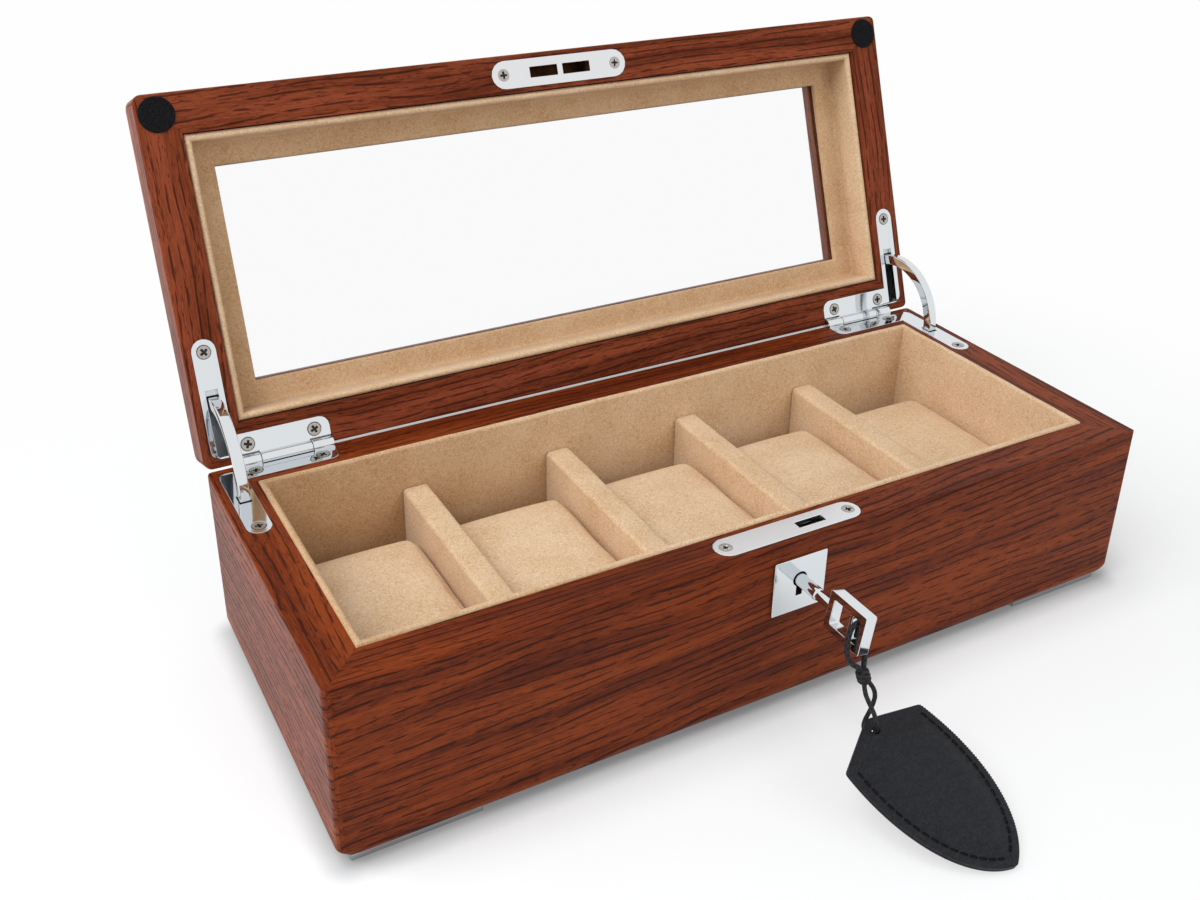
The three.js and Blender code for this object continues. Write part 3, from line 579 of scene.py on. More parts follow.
@dataclass(frozen=True)
class StainedOak:
    """Straight-grained oak with a red-brown stain under satin lacquer, black in the open pores."""

    pale: str = "#823a17"
    middle: str = "#6e2e12"
    deep: str = "#55210e"
    pore: str = "#1c0c0a"
    row_gap: float = 2.6
    row_half: float = 0.36
    row_depth: float = 0.74
    drift: float = 14.0
    dash_size: Triple = (9.0, 0.9, 0.9)
    fine_size: Triple = (3.2, 0.3, 0.3)
    streak_size: Triple = (9.0, 0.45, 0.45)
    tone_size: Triple = (120.0, 6.0, 6.0)
    roughness: float = 0.36
    lustre: float = 0.075

    def material(self, run: GrainRun) -> Material:
        """Makes the wood for one direction of grain: rows of broken dark dashes where each year's pores lie.

        Args:
            run: Direction of the board's grain.

        Returns:
            The material.
        """
        oak = Finish(f"stained_oak_{run.name.lower()}")
        place = oak.millimetres(run)
        wave = oak.noise(place, (150.0, 40.0, 40.0), 2.0, "Color")
        most, half = self.drift, -self.drift / 2
        offset = oak.vector("MULTIPLY_ADD", wave, (0.0, most, most), (0.0, half, half))
        warped = oak.vector("ADD", place, offset)
        dash = oak.noise(warped, self.dash_size, 1.0)
        fine = oak.noise(warped, self.fine_size)
        streak = oak.noise(warped, self.streak_size)
        tone = oak.noise(warped, self.tone_size)
        mixed = oak.maths("MULTIPLY_ADD", streak, 0.55, tone)
        ground = oak.ramp(mixed, (0.6, self.deep), (0.77, self.middle), (0.94, self.pale))
        across = oak.vector("DOT_PRODUCT", warped, (0.0, 0.85, 0.75))
        from_row = oak.maths("PINGPONG", across, self.row_gap / 2)
        near = oak.mapped(from_row, (self.row_half * 1.4, self.row_half * 0.4))
        broken = oak.mapped(oak.maths("MULTIPLY_ADD", tone, -0.4, dash), (0.2, 0.28))
        row = oak.maths("MULTIPLY", oak.maths("MULTIPLY", near, broken), self.row_depth)
        strength = oak.maths("MULTIPLY_ADD", broken, 0.45, 0.25)
        grit = oak.maths("MULTIPLY", oak.mapped(fine, (0.55, 0.66)), strength)
        pores = oak.maths("MAXIMUM", row, grit)
        return oak.wear(
            {
                "Base Color": oak.mix(pores, ground, colour(self.pore)),
                "Roughness": oak.maths("MULTIPLY_ADD", pores, 0.2, self.roughness),
                "Normal": oak.bump(pores, 0.3, 0.1, invert=True),
                "Specular IOR Level": self.lustre,
            }
        )

    def routed(self) -> Material:
        """Makes the bare brown wood inside the pockets of the lock and of the strike.

        Returns:
            The material.
        """
        bare = Finish("routed_slot_wood")
        ramp = bare.ramp(bare.noise(bare.millimetres(), (3.0,) * 3), (0.3, "#4a2c1c"), (0.7, "#64402b"))
        return bare.wear({"Base Color": ramp, "Roughness": 0.9, "Specular IOR Level": 0.1})


@dataclass(frozen=True)
class Suede:
    """Beige microsuede glued over board, with a short brushed nap."""

    # Painted shade: this colour is multiplied in where the suede lies deep inside a box.
    deep: str = "#dccdbb"
    light: str = "#e2c8aa"
    middle: str = "#d5b693"
    shade: str = "#c19a70"
    curl: float = 1.6
    swirl: float = 4.0
    nap: float = 0.75
    patch: float = 16.0

    def material(
        self, name: str = "microsuede", inward: Triple | None = None, span: Pair = (0.0, 1.0)
    ) -> Material:
        """Makes the suede: curled nap a millimetre long, drawn a little coarse so that it shows.

        Inside a box the colour darkens the deeper it lies: painted shade.

        Args:
            name: Name of the material.
            inward: Direction of growing depth for the painted shade, or None for an even colour.
            span: Millimetres along that direction where the painted shade starts and ends.

        Returns:
            The material.
        """
        cloth = Finish(name)
        place = cloth.millimetres()
        curl = cloth.noise(place, (self.curl,) * 3, 1.0, "Color")
        swirl = cloth.vector("MULTIPLY_ADD", curl, (self.swirl,) * 3, (-self.swirl / 2,) * 3)
        fibre = cloth.noise(cloth.vector("ADD", place, swirl), (self.nap,) * 3, 1.5)
        mixed = cloth.maths("MULTIPLY_ADD", cloth.noise(place, (self.patch,) * 3, 3.0), 0.35, fibre)
        tint = cloth.ramp(mixed, (0.45, self.shade), (0.66, self.middle), (0.9, self.light))
        # Painted shade: the colour darkens with depth along the inward direction.
        if inward:
            share = cloth.mapped(cloth.vector("DOT_PRODUCT", place, inward), span)
            tint = cloth.mix(share, tint, colour(self.deep), "MULTIPLY")
        return cloth.wear(
            {
                "Base Color": tint,
                "Normal": cloth.bump(fibre, 0.4, 0.3),
                "Roughness": 0.95,
                "Specular IOR Level": 0.1,
                "Sheen Weight": 0.12,
                "Sheen Roughness": 0.5,
            }
        )


@dataclass(frozen=True)
class PlatedMetal:
    """Plated metal, from mirror chrome to satin chrome and the duller plating of screws."""

    name: str
    base: str
    roughness: float
    smudge: float
    brush: Triple = (6.0, 6.0, 6.0)
    relief: float = 0.0

    def material(self) -> Material:
        """Makes the metal; faint smudges of handling change its roughness.

        Returns:
            The material.
        """
        plate = Finish(self.name)
        marks = plate.noise(plate.millimetres(), self.brush, 3.0)
        rough = plate.mapped(marks, (0.35, 0.7), (self.roughness, self.roughness + self.smudge), soft=False)
        if self.relief:
            plate.wear({"Normal": plate.bump(marks, self.relief, 0.02)})
        return plate.wear({"Base Color": colour(self.base), "Metallic": 1.0, "Roughness": rough})


@dataclass(frozen=True)
class WindowGlass:
    """Clear float glass; faint wiping marks change its gloss."""

    tint: str = "#fafafb"
    index: float = 1.5

    def material(self) -> Material:
        """Makes the glass, which lets lamp light through so that the pane casts no dark shadow.

        Returns:
            The material.
        """
        pane = Finish("float_glass")
        marks = pane.noise(pane.millimetres(), (40.0, 12.0, 12.0))
        rough = pane.mapped(marks, (0.4, 0.7), (0.0, 0.02), soft=False)
        pane.blend(pane.add("LightPath").outputs["Is Shadow Ray"], "BsdfTransparent", self.tint)
        tint = colour(self.tint)
        pane.wear({"Transmission Weight": 1.0, "IOR": self.index})
        return pane.wear({"Base Color": tint, "Roughness": rough})


@dataclass(frozen=True)
class PressedFelt:
    """Black wool felt, pressed and cut into discs."""

    base: str = "#111113"
    fluff: str = "#212124"
    fibre: float = 0.7

    def material(self) -> Material:
        """Makes the felt from tangled fibres about half a millimetre apart.

        Returns:
            The material.
        """
        felt = Finish("pressed_wool_felt")
        fibres = felt.noise(felt.millimetres(), (self.fibre,) * 3, 4.0)
        ramp = felt.ramp(fibres, (0.4, self.base), (0.75, self.fluff))
        relief = felt.bump(fibres, 0.8, 0.2)
        return felt.wear({"Base Color": ramp, "Normal": relief, "Roughness": 1.0, "Specular IOR Level": 0.15})


@dataclass(frozen=True)
class CowLeather:
    """Black cow leather with a fine pebbled grain and a light finish."""

    base: str = "#16171a"
    rubbed: str = "#24252a"
    pebble: float = 0.75
    crease: Triple = (5.0, 2.0, 2.0)

    def material(self) -> Material:
        """Makes the leather: pebbles under a millimetre, with soft creases a few millimetres long.

        Returns:
            The material.
        """
        hide = Finish("grained_cow_leather")
        place = hide.millimetres()
        scaled = hide.vector("MULTIPLY", place, (1 / self.pebble,) * 3)
        cells = hide.add("TexVoronoi", {"Vector": scaled, "Scale": 1.0}, feature="SMOOTH_F1").outputs
        creases = hide.noise(place, self.crease, 4.0)
        grain = hide.maths("MULTIPLY_ADD", creases, 0.8, cells["Distance"])
        ramp = hide.ramp(grain, (0.45, self.rubbed), (1.0, self.base))
        relief = hide.bump(grain, 0.35, 0.2, invert=True)
        return hide.wear({"Base Color": ramp, "Normal": relief, "Roughness": 0.55, "Specular IOR Level": 0.2})


@dataclass(frozen=True)
class WaxedCotton:
    """Black waxed cotton cord, braided from thin strands."""

    base: str = "#111112"
    ridge: str = "#26262a"
    strand: float = 1.5
    lean: float = 38.0

    def material(self) -> Material:
        """Makes the cord: a braid of two crossed wave patterns on the tube's own map, in millimetres.

        Returns:
            The material.
        """
        cord = Finish("waxed_cotton_cord")
        across = cord.add("UVMap", uv_map="braid").outputs[0]
        waves = []
        for lean in (self.lean, -self.lean):
            turned = cord.add("Mapping", {0: across, "Rotation": (0.0, 0.0, math.radians(lean))}).outputs[0]
            wave = {0: turned, "Scale": 0.314 / self.strand, "Distortion": 0.6, "Detail": 1.0}
            waves.append(cord.add("TexWave", wave).outputs["Fac"])
        braid = cord.maths("MAXIMUM", *waves)
        ramp = cord.ramp(braid, (0.35, self.base), (0.95, self.ridge))
        relief = cord.bump(braid, 0.7, 0.3)
        return cord.wear({"Base Color": ramp, "Normal": relief, "Roughness": 0.6, "Specular IOR Level": 0.3})


LID_OAK = StainedOak(pale="#8a432a", middle="#76371f", deep="#602914")
# Painted light: a lighter copy of the suede, for the cushions.
CUSHION_SUEDE_PAINTED_LIGHT = Suede(light="#e8cfb2", middle="#dbbd9b", shade="#c8a279")
MIRROR_CHROME = PlatedMetal("mirror_chrome_plate", "#dce0e3", 0.045, 0.03)
SATIN_CHROME = PlatedMetal("satin_chrome_plate", "#e2e3e5", 0.2, 0.06, (9.0, 0.5, 0.5), 0.1)
FOOT_STEEL = PlatedMetal("ground_foot_steel", "#b2b4b6", 0.3, 0.1, (12.0, 1.0, 1.0))
SCREW_PLATE = PlatedMetal("nickel_plated_screw", "#b5b1aa", 0.24, 0.1, (1.5, 1.5, 1.5))
# Dark finish of painted shade in the screws' crosses and round their heads.
RECESS_STEEL_PAINTED_SHADE = PlatedMetal("recess_steel_painted_shade", "#4e4844", 0.45, 0.2, (0.8, 0.8, 0.8))
POCKET_STEEL = PlatedMetal("plated_pocket_steel", "#d4d7da", 0.28, 0.06, (8.0, 8.0, 8.0))


# Studio


@dataclass
class Studio:
    """Camera at the photograph's angle, pale floor and soft lamps."""

    place: Triple = (-245.0817, -367.2395, 323.6297)
    turn: Triple = (64.127754, -0.767665, -28.742869)
    lens: float = 39.01549
    shift: float = -0.078443
    floor_half: float = 3000.0
    floor_height: float = -2.55
    half_case: Pair = (166.0, 66.0)
    # Rectangle of painted shade on the floor behind the case.
    shade_middle: Pair = (62.0, 120.0)
    shade_half: Pair = (152.0, 60.0)
    ambient: float = 0.34
    backdrop: float = 0.993

    def camera(self) -> None:
        """Makes the camera; its shift keeps the upright perspective of the photograph."""
        data = bpy.data.cameras.new("camera")
        data.sensor_width = 36.0
        data.lens = self.lens
        data.shift_y = self.shift
        data.clip_start, data.clip_end = 0.01, 20.0
        made = linked("camera", data)
        made.location = [v * MM for v in self.place]
        made.rotation_euler = [math.radians(v) for v in self.turn]
        bpy.context.scene.camera = made

    def beyond(self, paper: Finish, place: Socket, middle: Pair, half: Pair) -> Socket:
        """Gives the distance from a rectangle on the floor; heights under 5 mm don't count.

        Args:
            paper: The floor's finish.
            place: Coordinates in millimetres.
            middle: Middle of the rectangle.
            half: Half of its width and of its depth.

        Returns:
            The distance, which is zero inside.
        """
        folded = paper.vector("ABSOLUTE", paper.vector("SUBTRACT", place, (*middle, 0.0)))
        outside = paper.vector("MAXIMUM", paper.vector("SUBTRACT", folded, (*half, 5.0)), (0.0, 0.0, 0.0))
        return paper.vector("LENGTH", outside)

    def floor(self) -> None:
        """Makes the white floor, with a soft shade painted into its colour under and behind the case; far off
        it fades to white.
        """
        side = np.linspace(-self.floor_half, self.floor_half, 25)
        x, y = np.meshgrid(side, side, indexing="ij")
        grid = np.stack([x, y, np.full_like(x, self.floor_height)], -1)
        made = surface("studio_floor", grid, (False, False))
        paper = Finish("white_paper_sweep_painted_shade")
        place = paper.millimetres()
        white = paper.ramp(paper.noise(place, (60.0, 60.0, 60.0)), (0.3, "#f7fafc"), (0.7, "#f9fcfe"))
        reach = self.beyond(paper, place, (0.0, 0.0), self.half_case)
        # Painted contact shadow: the paper's colour darkens to half near the case's edges.
        painted_contact_shadow = paper.mapped(reach, (0.0, 13.0), (0.5, 1.0))
        near = paper.mapped(reach, (0.0, 34.0), (0.12, 0.55))
        far = paper.mapped(reach, (20.0, 260.0), (0.0, 0.45))
        # Painted shade: behind the case the paper's colour darkens to grey and the paper gives up its glow.
        outside_painted_shade = paper.mapped(self.beyond(paper, place, self.shade_middle, self.shade_half), (0.0, 48.0))
        paper_with_painted_shade = paper.vector("MULTIPLY", paper.mix(outside_painted_shade, colour("#a09f9e"), white), painted_contact_shadow)
        fade = paper.maths("MULTIPLY", paper.maths("ADD", near, far), outside_painted_shade)
        paper.blend(paper.maths("MULTIPLY", fade, paper.eye()), "Emission", "#fefefe")
        material = paper.wear({"Base Color": paper_with_painted_shade, "Roughness": 0.9, "Specular IOR Level": 0.1})
        made.data.materials.append(material)

    def world(self) -> None:
        """Lights evenly from all round, and shows white to the eye, to gloss and through glass."""
        world = bpy.data.worlds.new("white_room")
        bpy.context.scene.world = world
        world.use_nodes = True
        paint = Paint(world.node_tree)
        strength = paint.mapped(paint.eye(), (0.0, 1.0), (self.ambient, self.backdrop), soft=False)
        light = paint.add("Background", {0: colour("#ffffff"), 1: strength}).outputs[0]
        paint.add("OutputWorld", {0: light})

    def lamp(self, name: str, place: Triple, target: Triple, size: float, power: float) -> None:
        """Makes one soft square lamp.

        Args:
            name: Name of the lamp.
            place: Its middle, in metres.
            target: The point that it faces, in metres.
            size: Length of its side, in metres.
            power: Its power in watts.
        """
        data = bpy.data.lights.new(name, "AREA")
        data.shape = "SQUARE"
        data.size = size
        data.energy = power
        made = linked(name, data)
        away = np.array(place) - np.array(target)
        made.location = place
        made.rotation_euler = (math.atan2(math.hypot(*away[:2]), away[2]), 0.0, math.atan2(away[0], -away[1]))
        made.visible_glossy = False
        made.visible_transmission = False

    def build(self) -> None:
        """Makes the whole studio."""
        self.camera()
        self.floor()
        self.world()
        self.lamp("top_softbox", (-0.75, -0.15, 1.2), (0.0, 0.02, 0.05), 1.0, 14.5)
        self.lamp("front_softbox", (0.5, -1.3, 0.8), (0.0, 0.0, 0.05), 0.9, 6.7)
        self.lamp("left_softbox", (-1.25, 0.55, 0.35), (-0.1, 0.0, 0.05), 0.9, 9.0)
        bpy.context.scene.view_settings.view_transform = "Standard"
        LOG.info("studio is ready")


# Cords


@dataclass
class FobCords:
    """Waxed cord: one loop through the key's bow, a wound knot, and one loop through the fob."""

    upper_radius: float = 0.95
    lower_radius: float = 0.8
    sides: int = 14
    knot: Triple = (2.88, -107.5, 36.86)
    lean: Triple = (-0.157, 0.227, 0.962)
    knot_cord: float = 0.88
    knot_turns: float = 3.1
    knot_radius: float = 1.62
    knot_half: float = 2.15
    core_radius: float = 1.5
    core_half: float = 2.2
    upper: tuple[Triple, ...] = (
        (2.3, -107.2, 38.3), (1.15, -106.85, 40.2), (-1.26, -105.9, 42.3), (-2.5, -105.0, 44.5),
        (-2.8, -104.3, 47.0), (-2.46, -103.8, 50.4), (-1.95, -103.65, 53.3), (-1.12, -103.6, 55.4),
        (0.43, -103.6, 56.65), (2.26, -103.6, 56.75), (3.99, -103.6, 56.1), (5.1, -103.6, 54.5),
        (5.26, -103.75, 52.2), (4.8, -104.1, 49.3), (4.35, -104.7, 46.4), (4.45, -105.1, 44.1),
        (4.15, -105.7, 41.9), (3.55, -106.4, 40.4), (3.1, -107.0, 38.4),
    )
    lower: tuple[Triple, ...] = (
        (2.9, -108.1, 35.4), (2.25, -109.4, 33.6), (1.63, -111.2, 31.9), (1.6, -112.6, 30.6),
        (1.96, -114.0, 28.7), (2.07, -115.4, 27.3), (1.97, -116.9, 25.7), (1.75, -117.8, 24.3),
        (1.9, -117.9, 22.6), (1.8, -117.5, 20.6), (1.65, -116.9, 18.7), (1.6, -115.9, 17.2),
        (1.7, -114.3, 16.6), (1.9, -112.6, 17.2), (2.3, -111.3, 18.6), (2.9, -111.0, 20.4),
        (3.84, -111.0, 22.4), (5.04, -110.9, 24.7), (6.09, -110.6, 26.85), (6.7, -110.2, 29.1),
        (6.18, -109.6, 31.7), (4.95, -108.65, 34.0), (3.9, -108.0, 35.6),
    )

    def smooth(self, route: Points, steps: int) -> Points:
        """Smooths a route: a centripetal spline through its points, worked out between each pair.

        Args:
            route: Points in millimetres.
            steps: Steps between two points.

        Returns:
            The points of the smooth route.
        """
        ends = np.vstack([2 * route[0] - route[1], route, 2 * route[-1] - route[-2]])
        knots = run_along(ends, 0.5)
        count = len(route) - 1
        share = np.linspace(0, 1, steps, endpoint=False)[None, :, None]
        t0, t1, t2, t3 = (knots[i : i + count][:, None, None] for i in range(4))
        p0, p1, p2, p3 = (ends[i : i + count][:, None] for i in range(4))
        t = t1 + (t2 - t1) * share

        def blend(a: Points, b: Points, start: Points, end: Points) -> Points:
            """Blends from a to b as t runs from start to end."""
            return (end - t) / (end - start) * a + (t - start) / (end - start) * b

        a1, a2, a3 = blend(p0, p1, t0, t1), blend(p1, p2, t1, t2), blend(p2, p3, t2, t3)
        curve = blend(blend(a1, a2, t0, t2), blend(a2, a3, t1, t3), t1, t2)
        return np.vstack([curve.reshape(-1, 3), route[-1:]])

    def tube(self, name: str, path: Points, radius: float) -> Piece:
        """Makes a tube round a path, with a map of millimetres round and along it for the braid.

        Each ring lies square to the path; the rings' first directions are projected from one fixed direction.

        Args:
            name: Name of the piece.
            path: Points in millimetres.
            radius: Radius of the tube.

        Returns:
            The object.
        """
        along = np.gradient(path, axis=0)
        along /= np.linalg.norm(along, axis=1, keepdims=True)
        side = np.empty_like(along)
        side[0] = np.cross(along[0], [0.3, 0.8, 0.52])
        for i in range(1, len(path)):
            side[i] = side[i - 1] - along[i] * np.dot(side[i - 1], along[i])
            side[i] /= np.linalg.norm(side[i])
        side[0] /= np.linalg.norm(side[0])
        up = np.cross(along, side)
        angle = np.linspace(0, 2 * np.pi, self.sides, endpoint=False)
        cosine, sine = np.cos(angle)[:, None], np.sin(angle)[:, None]
        rings = path[:, None] + radius * (cosine * side[:, None] + sine * up[:, None])
        rows, columns = rings.shape[:2]
        faces = grid_faces(rows, columns, False, True)
        mesh = bpy.data.meshes.new(name)
        mesh.from_pydata((rings.reshape(-1, 3) * MM).tolist(), [], faces.tolist() + end_caps(rows, columns))
        row, column = faces // columns, faces % columns
        wrapped = np.where((column == 0) & (column[:, :1] == columns - 1), columns, column)
        braid = np.stack([wrapped / columns * 2 * np.pi * radius, run_along(path)[row]], -1).reshape(-1, 2)
        braid = np.vstack([braid, np.zeros((2 * columns, 2))])
        mesh.uv_layers.new(name="braid").data.foreach_set("uv", braid.ravel())
        work = bmesh.new()
        work.from_mesh(mesh)
        if work.calc_volume(signed=True) < 0:
            bmesh.ops.reverse_faces(work, faces=work.faces)
        work.to_mesh(mesh)
        work.free()
        finish_shading(mesh, 50.0)
        return linked(name, mesh)

    def knot_path(self) -> Points:
        """Path of the knot: a barrel of three close turns about a leaning axis, its ends tucked under them.

        Returns:
            Points in millimetres.
        """
        turn = np.linspace(0, 1, 110)
        angle = 2 * np.pi * self.knot_turns * turn + 0.9
        radius = self.knot_radius - 0.8 * (2 * turn - 1) ** 8
        rise = self.knot_half * (1 - 2 * turn) + 0.3 * np.cos(angle + 0.8)
        up = np.array(self.lean) / np.linalg.norm(self.lean)
        side = np.cross(up, [0.0, 1.0, 0.0])
        side /= np.linalg.norm(side)
        other = np.cross(up, side)
        flat = radius[:, None] * (np.cos(angle)[:, None] * side + np.sin(angle)[:, None] * other)
        return np.array(self.knot) + flat + rise[:, None] * up

    def build(self, material: Material) -> None:
        """Args:
            material: Finish of the cord.
        """
        winding = self.tube("cord_knot", self.knot_path(), self.knot_cord)
        knot = place_piece(winding, Body.FOB, Slot.CORD, material, "key_cord_knot")
        ends = np.array([[self.core_half], [-self.core_half]]) * np.array(self.lean)
        middle = np.array(self.knot) + np.linspace(ends[0], ends[1], 12)
        core = self.tube("cord_knot_core", middle, self.core_radius)
        place_piece(core, Body.FOB, Slot.CORD, material)
        loops = (
            ("bow_loop", self.upper, self.upper_radius, "key_cord_upper"),
            ("fob_loop", self.lower, self.lower_radius, "key_cord_lower"),
        )
        for name, route, radius, node in loops:
            path = self.smooth(np.array(route), 8)
            loop = place_piece(self.tube(name, path, radius), Body.FOB, Slot.CORD, material, node)


# Wooden box and lid


@dataclass
class Joinery:
    """Mitred boards of the base and the lid, the bottom panel and the feet."""

    leaf: float = 2.0
    slot_middle: float = 162.1
    slot_half: float = 2.8
    slot_front: float = 2.5
    slot_reach: float = 31.0
    slot_slope: float = 2.2
    slot_radius: float = 28.2
    lock_y: float = -62.0
    lock_half: Pair = (19.4, 4.8)
    half_box: Pair = (169.98, 69.98)
    base_edge: float = 5.6
    lid_edge: float = 9.0
    upright: float = 3.5
    corner: float = 9.5
    lid_height: float = 26.0
    hinge_x: float = 110.0
    hinge_reach: float = 50.0
    panel_edge: float = 0.3
    foot_edge: float = 0.4

    def envelope(self, name: str, far: float, edge: float) -> Piece:
        """Makes the outer form of a box half, whose closed face at height 0 has a round edge.

        At a fall of angle a the outline moves in by edge times 1 - cos a, while its corners grow from the
        upright radius to the corner radius.

        Args:
            name: Name of the form.
            far: Height of its open end.
            edge: Radius of the round edge.

        Returns:
            The object, which only cuts the boards.
        """
        fall = np.radians(np.linspace(90, 0, 13))
        heights = np.concatenate([edge * (1 - np.sin(fall)) + 0.02, [far]])
        inset = np.concatenate([edge * (1 - np.cos(fall)), [0.0]])
        radius = self.upright + (self.corner - self.upright) * (inset / edge) ** 0.5
        rows = []
        for height, move, round_off in zip(heights, inset, radius):
            outline = round_corners((self.half_box[0] - move, self.half_box[1] - move), round_off, 12, -1)
            rows.append(np.hstack([outline, np.full((len(outline), 1), height)]))
        return surface(name, np.array(rows), (False, True), caps=True)

    def trim(self, board: Piece, form: Piece) -> None:
        """Cuts a board to the outer form, and lets its large faces lead the shading."""
        carve(board, form, "INTERSECT", 30.0)
        board.modifiers.new("flat_faces_lead", "WEIGHTED_NORMAL").keep_sharp = True

    def line(self, board: Piece, pocket: Material, routed: Material, lid: bool) -> None:
        """Gives the arms' slots the plated lining that the photo shows, and the lock's pocket bare dark wood.

        A face belongs to a slot when its middle lies deeper than the leaf, inside the slot's outline and the
        arm's sweep. The lock's pocket goes by the middle too, if no corner of the face lies far from it.

        Args:
            board: Board of the base or the lid.
            pocket: Finish of the arms' slots.
            routed: Finish of the lock's pocket.
            lid: Whether the board belongs to the lid.
        """
        mesh = board.data
        mesh.materials.append(pocket)
        mesh.materials.append(routed)
        middles = fetch(mesh.polygons, "center", float) / MM - HINGE_AXIS
        if lid:
            middles = about_hinge(middles, LID_OPEN)
        x, forward, depth = np.abs(middles[:, 0]), -middles[:, 1], np.abs(middles[:, 2])
        slot = np.abs(x - self.slot_middle) < self.slot_half
        slot &= (forward > self.slot_front) & (forward < self.slot_reach)
        slot &= (depth > RIM + self.leaf + 0.15) & (depth < self.slot_slope * forward)
        slot &= np.hypot(forward, depth) < self.slot_radius
        under_leaf = np.abs(depth - RIM - self.leaf - 0.1) < 0.2
        slot |= under_leaf & (forward < self.hinge_reach) & (x > self.hinge_x)
        across = np.abs(middles[:, :2] - [LOCK_X, self.lock_y - HINGE_AXIS[1]])
        lock = (across[:, 0] < self.lock_half[0]) & (across[:, 1] < self.lock_half[1]) & (depth > 1.0)
        corners = fetch(mesh.vertices, "co", float)[fetch(mesh.loops, "vertex_index", np.int32, 1), 0] / MM
        starts = fetch(mesh.polygons, "loop_start", np.int32, 1)
        lock &= np.maximum.reduceat(np.abs(corners - LOCK_X), starts) < self.lock_half[0] + 2.0
        mesh.polygons.foreach_set("material_index", np.where(lock, 2, slot).astype(np.int32))
        mesh.update()

    def build(self, oak: StainedOak, lid_oak: StainedOak, steel: Material) -> None:
        """Dresses each board with grain along its own length.

        Args:
            oak: Wood of the base.
            lid_oak: Wood of the lid, from a lighter board.
            steel: Finish of the feet.
        """
        runs = {"front": GrainRun.FRONT, "back": GrainRun.BACK, "left": GrainRun.SIDE, "right": GrainRun.SIDE}
        woods = {run: (lid_oak if run.name.startswith("LID") else oak).material(run) for run in GrainRun}
        pocket, routed = POCKET_STEEL.material(), oak.routed()
        base_form = self.envelope("base_form", 90.0, self.base_edge)
        lid_form = self.envelope("lid_form", 60.0, self.lid_edge)
        local = fetch(lid_form.data.vertices, "co") / MM * [1, 1, -1]
        raised = local + [0.0, -HINGE_AXIS[1], RIM + self.lid_height]
        move_points(lid_form.data, lid_to_world(raised) * MM)
        lid_form.data.flip_normals()
        for side, run in runs.items():
            wall = crisp_copy(f"base_{side}_wall", f"base_wall_{side}")
            self.trim(wall, base_form)
            place_piece(wall, Body.CASE, Slot.WOOD, woods[run], f"base_{side}_wall")
            self.line(wall, pocket, routed, False)
            lid_run = GrainRun.LID_SIDE if run is GrainRun.SIDE else GrainRun.LID_LONG
            rail = crisp_copy(f"lid_{side}_rail", f"lid_rail_{side}")
            self.trim(rail, lid_form)
            place_piece(rail, Body.LID, Slot.WOOD, woods[lid_run], f"lid_{side}_rail")
            self.line(rail, pocket, routed, True)
        for form in (base_form, lid_form):
            bpy.data.objects.remove(form)
        wood = woods[GrainRun.BACK]
        dress("base_bottom_panel", "bottom_panel", self.panel_edge, Body.CASE, Slot.WOOD, wood)
        for corner in ("front_left", "front_right", "back_left", "back_right"):
            dress(f"foot_{corner}", f"foot_plate_{corner}", self.foot_edge, Body.CASE, Slot.FOOT, steel)


# Suede


